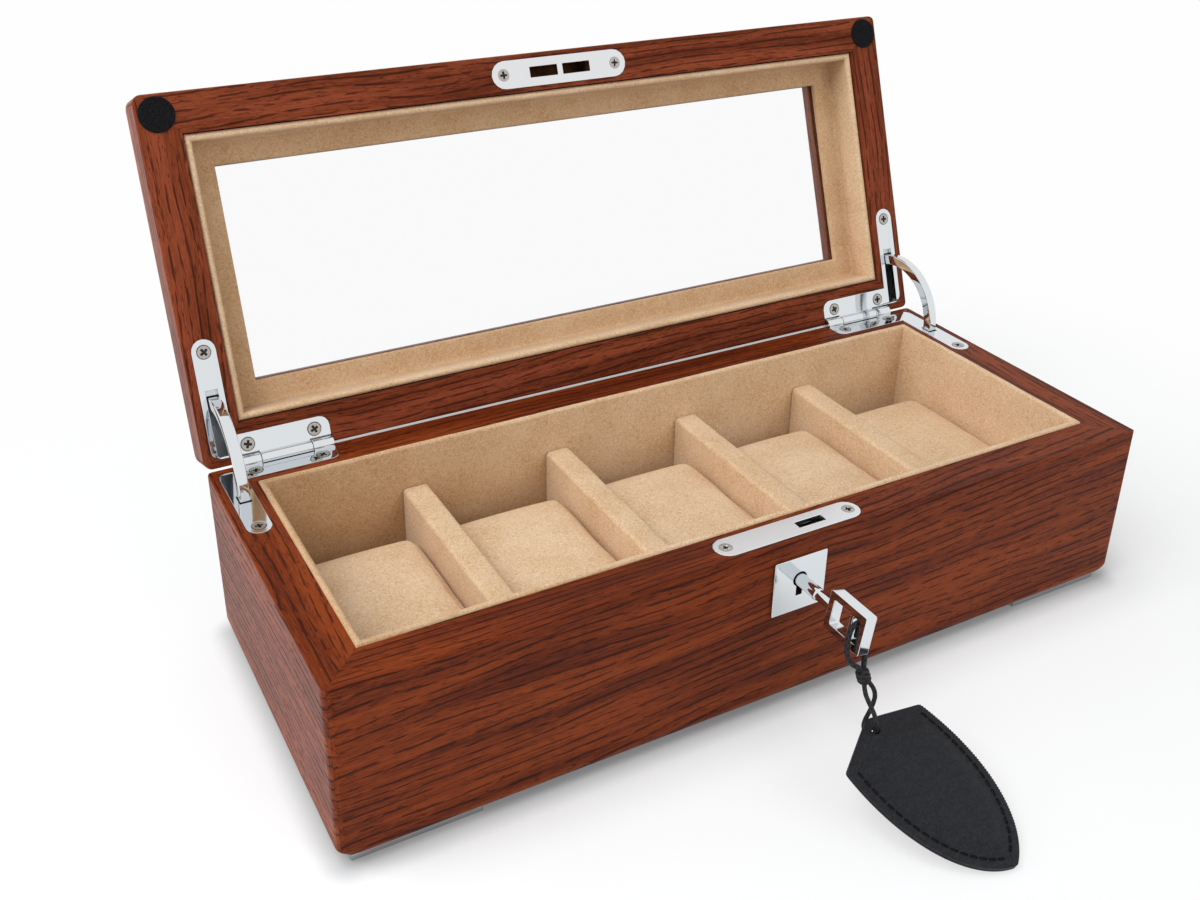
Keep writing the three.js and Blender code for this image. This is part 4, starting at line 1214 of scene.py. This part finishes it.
@dataclass
class Linings:
    """Suede-covered boards inside the base and the lid, and the dividers."""

    outer: Pair = (154.4, 54.4)
    lid_outer: Pair = (154.2, 54.2)
    board: float = 2.5
    low: float = 5.3
    top: float = 70.5
    divider_half: float = 5.25
    divider_top: float = 52.3
    divider_low: float = 7.6
    divider_reach: float = 51.4
    divider_round: float = 1.7
    pitch: float = 62.9
    step: float = 2.6
    floor_edge: float = 0.3

    def ring(
        self, name: str, profile: Points, outer: Pair, to_frame: Callable[[Points], Points], uneven: float
    ) -> Piece:
        """Carries a profile round a rectangle with mitred corners.

        A profile point is an inset from the outer rectangle and a height; each side runs between its mitres.

        Args:
            name: Name of the piece.
            profile: Inset and height per row, closed on itself.
            outer: Half width and half depth of the outer rectangle.
            to_frame: Places the points in the row frame.
            uneven: Size of the hand-made unevenness.

        Returns:
            The object.
        """
        inset, height = profile[:, 0][None], profile[:, 1][None]
        half_x, half_y = outer[0] - inset, outer[1] - inset
        long, short = np.linspace(-1, 1, 121)[:-1, None], np.linspace(-1, 1, 45)[:-1, None]
        x = np.vstack([half_x * long, half_x + 0 * short, -half_x * long, -half_x + 0 * short])
        y = np.vstack([-half_y + 0 * long, half_y * short, half_y + 0 * long, -half_y * short])
        upward = (height - height.min()) / np.ptp(height)
        lift = wander(np.arange(len(x))[:, None] * self.step, uneven, 170.0, 3) * upward
        return surface(name, to_frame(np.stack([x, y, height + lift], -1)), (True, True), smooth=40.0)

    def base_ring(self, suede: Material) -> None:
        """Makes the four linings of the base, rounded where the suede turns over their top edge.

        Args:
            suede: Finish with painted shade that deepens downwards.
        """
        half = self.board / 2
        turned_over = arc((half, self.top - half), half, 180, 0, 10)
        profile = np.vstack([[[0.0, self.low]], turned_over, [[self.board, self.low]]])
        lining = self.ring("base_lining", profile, self.outer, lambda p: p, 0.12)
        nodes = [f"lining_{side}" for side in ("front", "back", "left", "right")]
        place_piece(lining, Body.CASE, Slot.SUEDE, suede, *nodes)

    def lid_ring(self, suede: Material) -> None:
        """Makes the lid's lining: a rolled rim, a wall down to the ledge, and a ledge up to the window.

        Args:
            suede: Finish with painted shade that deepens towards the window.
        """
        rim, ledge, back, window = 0.8, 15.4, 17.4, 12.2
        profile = np.vstack(
            [
                [[0.0, back]],
                arc((1.35, rim + 1.35), 1.35, 180, 360, 12),
                [[2.65, 8.0]],
                arc((4.3, ledge - 1.6), 1.6, 180, 90, 5),
                [[8.0, ledge]],
                arc((window - 0.9, ledge + 0.9), 0.9, 270, 360, 4),
                [[window, back]],
            ]
        )

        def to_frame(points: Points) -> Points:
            """Puts points taken from the lid's middle and rim into the open lid."""
            return lid_to_world(points + np.array([0.0, -HINGE_AXIS[1], RIM]))

        lining = self.ring("lid_lining_ring", profile, self.lid_outer, to_frame, 0.1)
        place_piece(lining, Body.LID, Slot.SUEDE, suede, "lid_lining")

    def dividers(self, suede: Material) -> None:
        """Makes the four dividers: a board with a rounded top, its cover a little uneven along its length.

        Args:
            suede: Finish of the dividers.
        """
        flank, shoulder = self.divider_half, self.divider_half - self.divider_round
        top = self.divider_top - self.divider_round
        rounded = arc((-shoulder, top), self.divider_round, 180, 90, 8)
        low = [[flank, 28.0], [flank, self.divider_low]]
        profile = np.vstack([(np.array(low) * [-1, 1])[::-1], rounded, (rounded * [-1, 1])[::-1], low])
        along = np.linspace(-self.divider_reach, self.divider_reach, 60)[:, None]
        for number in range(1, 5):
            centre = (number - 2.5) * self.pitch
            swell = 1 + wander(along, 0.012, 90.0, number)
            x = centre + profile[:, 0][None] * swell
            z = profile[:, 1][None] + wander(along, 0.14, 80.0, 10 + number) * (profile[:, 1][None] > 40)
            grid = np.stack([x, np.broadcast_to(along, x.shape), z], -1)
            divider = surface(f"suede_divider_{number}", grid, (False, True), caps=True, smooth=50.0)
            place_piece(divider, Body.CASE, Slot.SUEDE, suede, f"divider_{number}")

    def build(self, nap: Suede, suede: Material) -> None:
        """Makes every lining and divider.

        Args:
            nap: The cloth, for the linings with painted shade that deepens inwards.
            suede: Its even finish.
        """
        # The linings' colours darken with depth: painted shade.
        self.base_ring(nap.material("microsuede_of_base_painted_shade", (-0.45, 0.1, -1.0), (-62.0, 32.0)))
        out = (0.0, math.sin(LID_OPEN), math.cos(LID_OPEN))
        start = float(np.dot(out, HINGE_AXIS))
        self.lid_ring(nap.material("microsuede_of_lid_painted_shade", out, (start - 2.0, start + 30.0)))
        self.dividers(suede)
        dress("lining_floor", "floor_lining", self.floor_edge, Body.CASE, Slot.SUEDE, suede)


@dataclass
class Cushions:
    """Five watch cushions: a suede strip wraps over the padding, with a flat panel sewn in at each side."""

    half_width: float = 25.0
    half_length: float = 41.0
    half_height: float = 16.25
    middle: float = 23.85
    end_round: float = 9.0
    side_round: float = 4.2
    crown: float = 2.9
    end_taper: float = 0.06
    pitch: float = 62.9
    most_move: float = 1.6
    most_wider: float = 0.5
    seam_inset: float = 2.3

    def loop(self, steps: int) -> Points:
        """Outline of the wrapped strip seen from the side: even points of a rectangle with round ends."""
        outline = round_corners((self.half_length, self.half_height), self.end_round, 12)
        return even_ring(np.vstack([outline, outline[:1]]), steps)

    def grid(self, centre: float) -> Points:
        """Points of one cushion: the outline drawn in towards its middle line across each side panel.

        The inset grows from the strip over a small round edge. A direction shrinks by inset over half size.

        Args:
            centre: Middle of the cushion along X.

        Returns:
            Rows from one side panel's middle across the strip to the other's.
        """
        loop = self.loop(120)
        edge = arc((self.half_width - self.side_round, -self.side_round), self.side_round, 90, 0, 5)
        panel = np.linspace(-self.side_round, -self.half_height, 7)[1:]
        right = np.vstack([edge, np.stack([np.full(6, self.half_width), panel], -1)])
        strip = np.linspace(-1, 1, 21)[1:-1] * (self.half_width - self.side_round)
        section = np.vstack([(right * [-1, 1])[::-1], np.stack([strip, 0 * strip], -1), right])
        x, inset = section[:, 0][:, None], -section[:, 1][:, None]
        y = loop[:, 0][None] * (1 - inset / self.half_length)
        z = loop[:, 1][None] * (1 - inset / self.half_height)
        bow = (1 - (x / self.half_width) ** 2) * (1 - (y / self.half_length) ** 2)
        z = z + self.crown * bow * np.clip(z / self.half_height, 0, 1)
        x = x * (1 - self.end_taper * np.abs(y / self.half_length) ** 5)
        return np.stack([x + centre, y, z + self.middle], -1)

    def puff(self, pieces: list[Piece]) -> None:
        """Blows the cushions up a little as cloth, holds each point near its start, and keeps the result.

        Args:
            pieces: The cushions, which the simulation runs side by side.
        """
        scene = bpy.context.scene
        for piece in pieces:
            cloth = piece.modifiers.new("padding", "CLOTH")
            cloth.settings.use_pressure = True
            cloth.settings.uniform_pressure_force = 4.0
            cloth.settings.effector_weights.gravity = 0.0
            cloth.settings.quality = 5
            cloth.settings.tension_stiffness = 20.0
            cloth.settings.compression_stiffness = 20.0
            cloth.settings.bending_stiffness = 0.6
            cloth.collision_settings.use_collision = False
        for step in range(1, 21):
            scene.frame_set(step)
        depsgraph = bpy.context.evaluated_depsgraph_get()
        most = self.most_move * MM
        for piece in pieces:
            start = fetch(piece.data.vertices, "co")
            move = fetch(piece.evaluated_get(depsgraph).data.vertices, "co") - start
            size = np.linalg.norm(move, axis=1, keepdims=True)
            move *= most * np.tanh(size / most) / np.maximum(size, 1e-9)
            move[:, 0] = np.clip(move[:, 0], -self.most_wider * MM, self.most_wider * MM)
            move[start[:, 2] < (self.middle - 10) * MM] *= 0.15
            piece.modifiers.clear()
            move_points(piece.data, start + move)
        scene.frame_set(1)

    def sew(self, piece: Piece, centre: float) -> None:
        """Presses the seam between strip and side panel: points near it sink by a bell curve across the seam.

        Args:
            piece: The cushion.
            centre: Its middle along X.
        """
        places = fetch(piece.data.vertices, "co").astype(float)
        across = np.abs(places[:, 0] / MM - centre) - (self.half_width - self.seam_inset)
        depth = 0.42 * np.exp(-((across / 0.5) ** 2)) - 0.12 * np.exp(-(((across + 1.3) / 0.7) ** 2))
        inward = np.array([centre, 0.0, self.middle]) * MM - places
        inward[:, 0] = 0
        inward /= np.maximum(np.linalg.norm(inward, axis=1, keepdims=True), 1e-9)
        move_points(piece.data, places + inward * (depth * MM)[:, None])

    def build(self, suede: Material) -> None:
        """Makes the five cushions, fills them, and sews their seams.

        Args:
            suede: Finish of the cushions.
        """
        pieces, centres = [], [(number - 3) * self.pitch for number in range(1, 6)]
        for number, centre in enumerate(centres, 1):
            pieces.append(surface(f"suede_cushion_{number}", self.grid(centre), (False, True), smooth=60.0))
        self.puff(pieces)
        for number, (piece, centre) in enumerate(zip(pieces, centres), 1):
            fine = piece.modifiers.new("fine", "SUBSURF")
            fine.levels = fine.render_levels = 1
            settle(piece)
            self.sew(piece, centre)
            finish_shading(piece.data, 75.0)
            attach(piece, f"cushion_{number}")
            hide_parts(f"watch_cushion_{number}")
            piece.data.materials.clear()
            piece.data.materials.append(suede)
            LOG.info("%s is filled and sewn", piece.name)


# Metal


@dataclass
class Screws:
    """Countersunk screws with cross recesses, in the hinges and in both lock plates."""

    radius: float = 2.68
    recess: float = 1.55
    recess_depth: float = 0.95
    half_width: float = 0.34
    flare: float = 0.12
    side_fade: float = 0.14
    end_fade: float = 0.25
    dish: float = 0.05
    rim: float = 2.55
    rim_drop: float = 0.1
    shank: float = 1.3
    dome: float = 0.02
    leaf_places: tuple[Pair, ...] = ((17.3, 6.6), (43.3, 6.6), (7.9, 44.2))
    face_place: Triple = (26.5, -62.0, 69.86)
    strike_place: Triple = (26.0, -132.0, 0.04)

    def drive(
        self,
        name: str,
        place: Points,
        lid: bool,
        turn: float,
        finishes: tuple[Material, Material],
        *nodes: str,
    ) -> None:
        """Makes one screw: a polar grid whose height falls inside the cross, then a cone and the shank.

        The cross's depth is the larger of two arms; each arm fades at its sides and towards its end.

        Args:
            name: Name of the piece.
            place: Middle of the head's face.
            lid: Whether it sits in the lid; its place is then taken from the hinge axis of the closed lid.
            turn: Angle of the cross in degrees.
            finishes: Finish of the head, and the dark finish of painted shade in the cross and in the ring
                round the head.
            nodes: CAD nodes that it replaces.
        """
        up = -1 if lid else 1
        outside = [2.05, 2.2, 2.3, 2.45, 2.6, self.radius]
        radius = np.concatenate([np.linspace(0, self.recess + 0.25, 19), outside])[None]
        angle = np.linspace(0, 2 * np.pi, 72, endpoint=False)[:, None]
        x, y = radius * np.cos(angle), radius * np.sin(angle)
        a, b = (x * math.cos(math.radians(t)) + y * math.sin(math.radians(t)) for t in (turn, turn + 90))
        width = self.half_width + self.flare * (radius > 0)

        def bar(along: Points, across: Points) -> Points:
            """Gives 1 inside one arm of the cross, fading at its sides and ends."""
            sides = np.clip((width - np.abs(across)) / self.side_fade, 0, 1)
            return sides * np.clip((self.recess - np.abs(along)) / self.end_fade, 0, 1)

        slope = self.recess_depth * (1 - 0.35 * radius / self.recess)
        top = self.dome - self.dish * (radius / self.radius) ** 2 - slope * np.maximum(bar(a, b), bar(b, a))
        top = np.where(radius > self.rim, top - self.rim_drop, top)
        tail = [[self.radius, -0.3], [self.shank, -1.65], [self.shank, -9.5], [0.0, -11.0]]
        tail_radius, tail_height = np.array(tail).T
        reach = np.hstack([radius, tail_radius[None]])
        height = np.hstack([top, np.broadcast_to(tail_height, (len(angle), 4))])
        grid = np.stack([reach * np.cos(angle), reach * np.sin(angle), height], -1)
        piece = surface(name, grid, (True, False), smooth=28.0)
        x, y, z = fetch(piece.data.polygons, "center").T / MM
        from_middle = np.hypot(x, y)
        # Painted shade: faces inside the cross and round the head's edge take the dark finish, for the shade
        # in the recess and in the gap round the head.
        painted_recess_shade = ((from_middle < 2.0) & (z < -0.12) & (z > -1.2)) | ((from_middle > 2.45) & (z > -0.35))
        points = fetch(piece.data.vertices, "co") / MM * [1, up, up] + place
        move_points(piece.data, (lid_to_world(points) if lid else points) * MM)
        place_piece(piece, Body.LID if lid else Body.CASE, Slot.SCREW, finishes[0], *nodes)
        piece.data.materials.append(finishes[1])
        piece.data.polygons.foreach_set("material_index", painted_recess_shade.astype(np.int32))
        piece.data.update()

    def build(self, finishes: tuple[Material, Material]) -> None:
        """Makes all the screws; those of the hinges are placed from the back corners of the box.

        Args:
            finishes: Finish of the heads, and the dark finish of painted shade in the crosses and the rings.
        """
        turns = iter(np.random.default_rng(5).uniform(0, 90, 16))
        for side, sign in SIDES:
            for number, (u, v) in enumerate(self.leaf_places, 1):
                spot = np.array([sign * (170 - u), -v, 0.0])
                base, lid = (f"{half}_hinge_screw_{side}_{number}" for half in ("base", "lid"))
                below, above = HINGE_AXIS + spot - [0, 0, RIM], spot + [0, 0, RIM]
                self.drive(f"base_screw_{side}_{number}", below, False, next(turns), finishes, base)
                self.drive(f"lid_screw_{side}_{number}", above, True, next(turns), finishes, lid)
            places = (self.face_place, self.strike_place)
            face, strike = (np.array([LOCK_X + sign * x, y, z]) for x, y, z in places)
            self.drive(f"face_plate_screw_{side}", face, False, next(turns), finishes)
            self.drive(f"strike_plate_screw_{side}", strike, True, next(turns), finishes)


@dataclass
class Hardware:
    """Hinges with their stop arms, the lock, the strike plate, the escutcheon and the key."""

    half_width: float = 170.0
    barrel: Pair = (12.5, 49.5)
    outer_knuckle: float = 8.4
    knuckle_gap: float = 0.15
    knuckle_radius: float = 2.73
    knuckle_round: float = 0.3
    arm_middle: float = 7.9
    arm_width: float = 4.0
    arm_radii: Pair = (22.4, 27.0)
    arm_hold: float = 6.0
    arm_round: float = 0.55
    leaf_edge: float = 0.22
    pin_edge: float = 0.15
    plate_edge: float = 0.3
    hook_edge: float = 0.2
    key_edge: float = 0.25

    def knuckle(self, name: str, sign: int, ends: Pair) -> Piece:
        """Makes the round of one knuckle, turned about the hinge axis with a small rounding at both ends.

        Args:
            name: Name of the piece.
            sign: -1 for the left hinge and 1 for the right one.
            ends: Its ends, inwards from the side face.

        Returns:
            The object.
        """
        low, high = ends[0] + 0.02, ends[1] - 0.02
        r, e = self.knuckle_radius, self.knuckle_round
        lower, upper = arc((r - e, low + e), e, -90, 0, 4), arc((r - e, high - e), e, 0, 90, 4)
        profile = np.vstack([[[0.0, low]], lower, upper, [[0.0, high]]])

        def to_frame(points: Points) -> Points:
            """Lays the turned points along X, measured inwards from the side face."""
            x, y, z = np.moveaxis(points, -1, 0)
            return np.stack([sign * (self.half_width - z), y, x], -1) + HINGE_AXIS

        return lathe(name, profile, 48, to_frame, smooth=40.0)

    def arm(self, name: str, sign: int) -> Piece:
        """Makes a stop arm: a bar with rounded edges bent round the hinge axis, with its ends drawn in.

        Its section is a rectangle with round corners; its middle line is an arc from slot to slot.

        Args:
            name: Name of the piece.
            sign: -1 for the left hinge and 1 for the right one.

        Returns:
            The object.
        """
        low, high = self.arm_radii
        section = round_corners((self.arm_width / 2, (high - low) / 2), self.arm_round, 4)
        turn = np.concatenate([[0.0, 0.0], np.linspace(0, 1, 110), [1.0, 1.0]])
        draw = np.ones(len(turn))
        draw[[0, -1]], draw[[1, -2]] = 0.0, 0.86
        span = LID_OPEN + math.radians(2 * self.arm_hold)
        angle = (turn * span - math.radians(self.arm_hold))[:, None]
        rows = draw[:, None, None] * section[None] + [0.0, (low + high) / 2]
        x, radius = sign * (self.half_width - self.arm_middle) + rows[..., 0], rows[..., 1]
        grid = np.stack([x, -radius * np.cos(angle), radius * np.sin(angle)], -1)
        return surface(name, grid + [0.0, HINGE_AXIS[1], HINGE_AXIS[2]], (False, True), smooth=50.0)

    def build(self, chrome: Material, satin: Material, screw: Material) -> None:
        """Dresses the metal pieces, with the small bright rounding of pressed and ground edges.

        Args:
            chrome: Finish of the hinges, the escutcheon and the key.
            satin: Finish of the lock and the strike plate.
            screw: Finish of the hinge pins.
        """
        start, end = self.barrel
        first, last = start + self.outer_knuckle, end - self.outer_knuckle
        case, lid = Body.CASE, Body.LID
        for (side, sign), body in zip(SIDES, (Body.ARM_LEFT, Body.ARM_RIGHT)):
            dress(f"hinge_base_leaf_{side}", f"base_leaf_{side}", self.leaf_edge, case, Slot.CHROME, chrome)
            dress(f"hinge_lid_leaf_{side}", f"lid_leaf_{side}", self.leaf_edge, lid, Slot.CHROME, chrome)
            knuckles = (
                (f"base_knuckle_{side}_1", case, (start, first)),
                (f"base_knuckle_{side}_2", case, (last, end)),
                (f"lid_knuckle_{side}", lid, (first + self.knuckle_gap, last - self.knuckle_gap)),
            )
            for name, half, ends in knuckles:
                place_piece(self.knuckle(name, sign, ends), half, Slot.CHROME, chrome)
            arm = self.arm(f"curved_stop_arm_{side}", sign)
            place_piece(arm, body, Slot.CHROME, chrome, f"stop_arm_{side}")
            dress(f"hinge_pin_{side}", f"knuckle_pin_{side}", self.pin_edge, case, Slot.SCREW, screw)
        dress("lock_case", "box_lock", self.plate_edge, case, Slot.SATIN, satin)
        dress("lock_hook", "hook_bolt", self.hook_edge, Body.HOOK, Slot.SATIN, satin)
        dress("strike_plate", "lid_strike_plate", self.plate_edge, lid, Slot.SATIN, satin)
        dress("escutcheon", "keyhole_escutcheon", self.plate_edge, case, Slot.CHROME, chrome)
        dress("key", "square_bow_key", self.key_edge, Body.KEY, Slot.CHROME, chrome)


# Fob


@dataclass
class LeatherFob:
    """Shield-shaped fob: two layers of leather sewn round a thin pad, with a hole for the cord."""

    apex: Triple = (1.5, -113.2, 23.4)
    yaw: float = 18.1
    pitch: float = 21.7
    length: float = 63.6
    shoulder: Pair = (22.4, -8.1)
    belly: Pair = (26.7, -34.0)
    flank: Pair = (18.0, -57.0)
    thickness: float = 2.6
    stitch_inset: float = 3.1
    stitch_pitch: float = 3.3
    stitch_share: float = 0.8
    thread: Pair = (0.3, 0.24)
    groove: Pair = (0.3, 0.42)
    pad_rise: float = 0.95
    pad_slope: float = 7.0
    middle: Pair = (0.0, -30.0)
    hole: Triple = (-1.0, -4.8, 1.6)

    def side(self, share: Points) -> Points:
        """Right-hand long edge: a cubic curve from the shoulder to the tip.

        Args:
            share: Shares from 0 to 1.

        Returns:
            Points on the flat fob.
        """
        t = share[:, None]
        a, b, c, d = (np.array(p) for p in (self.shoulder, self.belly, self.flank, (0.0, -self.length)))
        return (1 - t) ** 3 * a + 3 * (1 - t) ** 2 * t * b + 3 * (1 - t) * t * t * c + t**3 * d

    def outline(self, count: int) -> Points:
        """Closed outline at equal distances, its corners eased by averaging over about a millimetre.

        Args:
            count: Number of points.

        Returns:
            Points on the flat fob.
        """
        side = self.side(np.linspace(0, 1, 200))
        right = np.vstack([np.linspace([0.0, 0.0], self.shoulder, 60)[:-1], side])
        ring = np.vstack([right[:-1], (right * [-1, 1])[::-1]])
        even, spacing = even_ring(ring, count), run_along(ring)[-1] / count
        weights = np.exp(-((np.arange(-6, 7) * spacing / 0.9) ** 2))
        weights /= weights.sum()
        return sum(w * np.roll(even, k, axis=0) for w, k in zip(weights, range(-6, 7)))

    def to_frame(self, points: Points) -> Points:
        """Lays points of the flat fob into its hanging pose: pitch about X, yaw about Z, then to the apex.

        Args:
            points: Points on and over the flat fob.

        Returns:
            Points of the row frame.
        """
        p, y = math.radians(self.pitch), math.radians(self.yaw)
        tip = np.array([[1, 0, 0], [0, math.cos(p), -math.sin(p)], [0, math.sin(p), math.cos(p)]])
        swing = np.array([[math.cos(y), -math.sin(y), 0], [math.sin(y), math.cos(y), 0], [0, 0, 1]])
        return points @ (swing @ tip).T + np.array(self.apex)

    def height(self, depth: Points, upper: Points) -> Points:
        """Height of the top face by distance from the edge: round edge, flat border, seam groove, raised pad.

        Args:
            depth: Distance from the outline.
            upper: 1 near the two short upper edges, where only a creased line is pressed.

        Returns:
            Height above the border.
        """
        edge = -0.45 * np.clip(1 - depth / 0.5, 0, 1) ** 2
        deep, wide = self.groove
        groove = -deep * np.exp(-(((depth - self.stitch_inset) / wide) ** 2)) * (1 - 0.45 * upper)
        rise = np.clip((depth - self.stitch_inset - 0.3) / self.pad_slope, 0, 1)
        return edge + groove + self.pad_rise * rise * rise * (3 - 2 * rise)

    def body(self) -> Piece:
        """Makes the leather: rings drawn in from the outline on both faces, joined round the edge.

        The top follows its height by distance from the edge; the edge has a fine line where the layers meet.

        Returns:
            The object, with the cord's hole cut through.
        """
        ring, centre, t = self.outline(360), np.array(self.middle), self.thickness
        share = np.concatenate([1 - np.linspace(0, 0.3, 34), np.linspace(0.68, 0.0, 14)])
        top = centre + share[:, None, None] * (ring - centre)[None]
        near = np.min(np.linalg.norm(top[:, :, None] - ring[None, None, ::2], axis=-1), axis=-1)
        upper = np.clip((top[..., 1] + 12.0) / 5.0, 0, 1)
        top = np.concatenate([top, self.height(near, upper)[..., None]], -1)
        layers = [[0.0, -0.9], [0.16, -1.2], [0.0, -1.5]]
        depths = np.array(layers + [[0.0, -t + 0.5], [0.35, -t + 0.1], [2.0, -t]])
        drawn, height = depths[:, :1, None], np.broadcast_to(depths[:, 1:, None], (len(depths), len(ring), 1))
        inward = (centre - ring) / np.linalg.norm(centre - ring, axis=1, keepdims=True)
        edge = np.concatenate([ring[None] + drawn * inward[None], height], -1)
        last = np.broadcast_to(np.array([*centre, -t]), (1, len(ring), 3))
        grid = self.to_frame(np.vstack([top[::-1], edge, last]))
        made = surface("leather_fob", grid, (False, True), smooth=50.0)
        x, y, radius = self.hole
        profile = np.array([[0.0, -6.0], [radius, -6.0], [radius, 6.0], [0.0, 6.0]])
        cutter = lathe("fob_hole", profile, 32, lambda p: self.to_frame(p + [x, y, 0.0]))
        carve(made, cutter, "DIFFERENCE", 50.0)
        bpy.data.objects.remove(cutter)
        return made

    def stitches(self) -> Piece:
        """Makes the thread along both long edges: each stitch is a short bent tube that dives in at its ends.

        Returns:
            The object, with all the stitches.
        """
        side = self.side(np.linspace(0.02, 0.965, 400))
        tangent = np.gradient(side, axis=0)
        tangent /= np.linalg.norm(tangent, axis=1, keepdims=True)
        inner = side + self.stitch_inset * np.stack([tangent[:, 1], -tangent[:, 0]], -1)
        run = run_along(inner)
        count = int(run[-1] / self.stitch_pitch)
        starts = (np.arange(count) + 0.1) * self.stitch_pitch
        share = np.linspace(0, 1, 9)
        at = starts[:, None] + share[None] * self.stitch_pitch * self.stitch_share
        line = np.stack([np.interp(at, run, inner[:, k]) for k in (0, 1)], -1)
        way = np.stack([np.interp(at, run, tangent[:, k]) for k in (0, 1)], -1)
        rise = 0.08 + 0.18 * np.sin(np.pi * share) ** 0.6 - 0.5 * (np.abs(2 * share - 1) ** 8)
        angle = np.linspace(0, 2 * np.pi, 8, endpoint=False)
        wide, tall = self.thread[0] * np.cos(angle), self.thread[1] * np.sin(angle)
        out = np.stack([way[..., 1], -way[..., 0]], -1)
        flat = line[:, :, None] + out[:, :, None] * wide[None, None, :, None]
        height = np.broadcast_to(rise[None, :, None] + tall[None, None], flat.shape[:3])
        right = np.concatenate([flat, height[..., None]], -1)
        both = np.concatenate([right, (right * [-1, 1, 1])])
        faces, caps = grid_faces(9, 8, False, True), np.array(end_caps(9, 8))
        shift = (np.arange(len(both)) * 72)[:, None, None]
        rows = (faces[None] + shift).reshape(-1, 4).tolist() + (caps[None] + shift).reshape(-1, 8).tolist()
        return to_mesh_object("fob_stitches", self.to_frame(both.reshape(-1, 3)), rows, 60.0)

    def build(self, leather: Material, thread: Material) -> None:
        """Makes the fob and its thread."""
        place_piece(self.body(), Body.FOB, Slot.LEATHER, leather, "key_fob")
        place_piece(self.stitches(), Body.FOB, Slot.CORD, thread)


# Glass and felt


@dataclass
class Window:
    """The pane of the lid and the two felt bumpers."""

    bumper_radius: float = 6.6
    bumper_height: float = 0.6
    bumper_round: float = 0.35
    bumper_place: Pair = (162.25, -132.25)

    def build(self, glass: Material, felt: Material) -> None:
        """Dresses the pane and makes the bumpers: discs with a softly rounded edge.

        Args:
            glass: Finish of the pane.
            felt: Finish of the bumpers.
        """
        dress("lid_glass", "glass_pane", 0.0, Body.LID, Slot.GLASS, glass)
        r, h = self.bumper_radius, self.bumper_height
        top = RIM - 0.05
        e = self.bumper_round
        edge = arc((r - e, top - h + e), e, 0, -90, 5)
        crown = [[r - 2, top - h - 0.02], [0.0, top - h - 0.03]]
        profile = np.vstack([[[0.0, top], [r, top]], edge, crown])
        for side, sign in SIDES:
            spot = np.array([sign * self.bumper_place[0], self.bumper_place[1], 0.0])
            disc = lathe(f"felt_disc_{side}", profile, 96, lambda p, s=spot: lid_to_world(p + s))
            place_piece(disc, Body.LID, Slot.FELT, felt, f"felt_bumper_{side}")


def main() -> None:
    """Builds the studio first, then each sub-assembly."""
    logging.basicConfig(level=logging.INFO, format="%(name)s: %(message)s")
    Studio().build()
    cord = WaxedCotton().material()
    nap = Suede()
    suede = nap.material()
    FobCords().build(cord)
    Joinery().build(StainedOak(), LID_OAK, FOOT_STEEL.material())
    Linings().build(nap, suede)
    Cushions().build(CUSHION_SUEDE_PAINTED_LIGHT.material("microsuede_of_cushions_painted_light"))
    Hardware().build(MIRROR_CHROME.material(), SATIN_CHROME.material(), SCREW_PLATE.material())
    Screws().build((SCREW_PLATE.material(), RECESS_STEEL_PAINTED_SHADE.material()))
    LeatherFob().build(CowLeather().material(), PressedFelt().material())
    Window().build(WindowGlass().material(), PressedFelt().material())


if __name__ == "__main__":
    main()
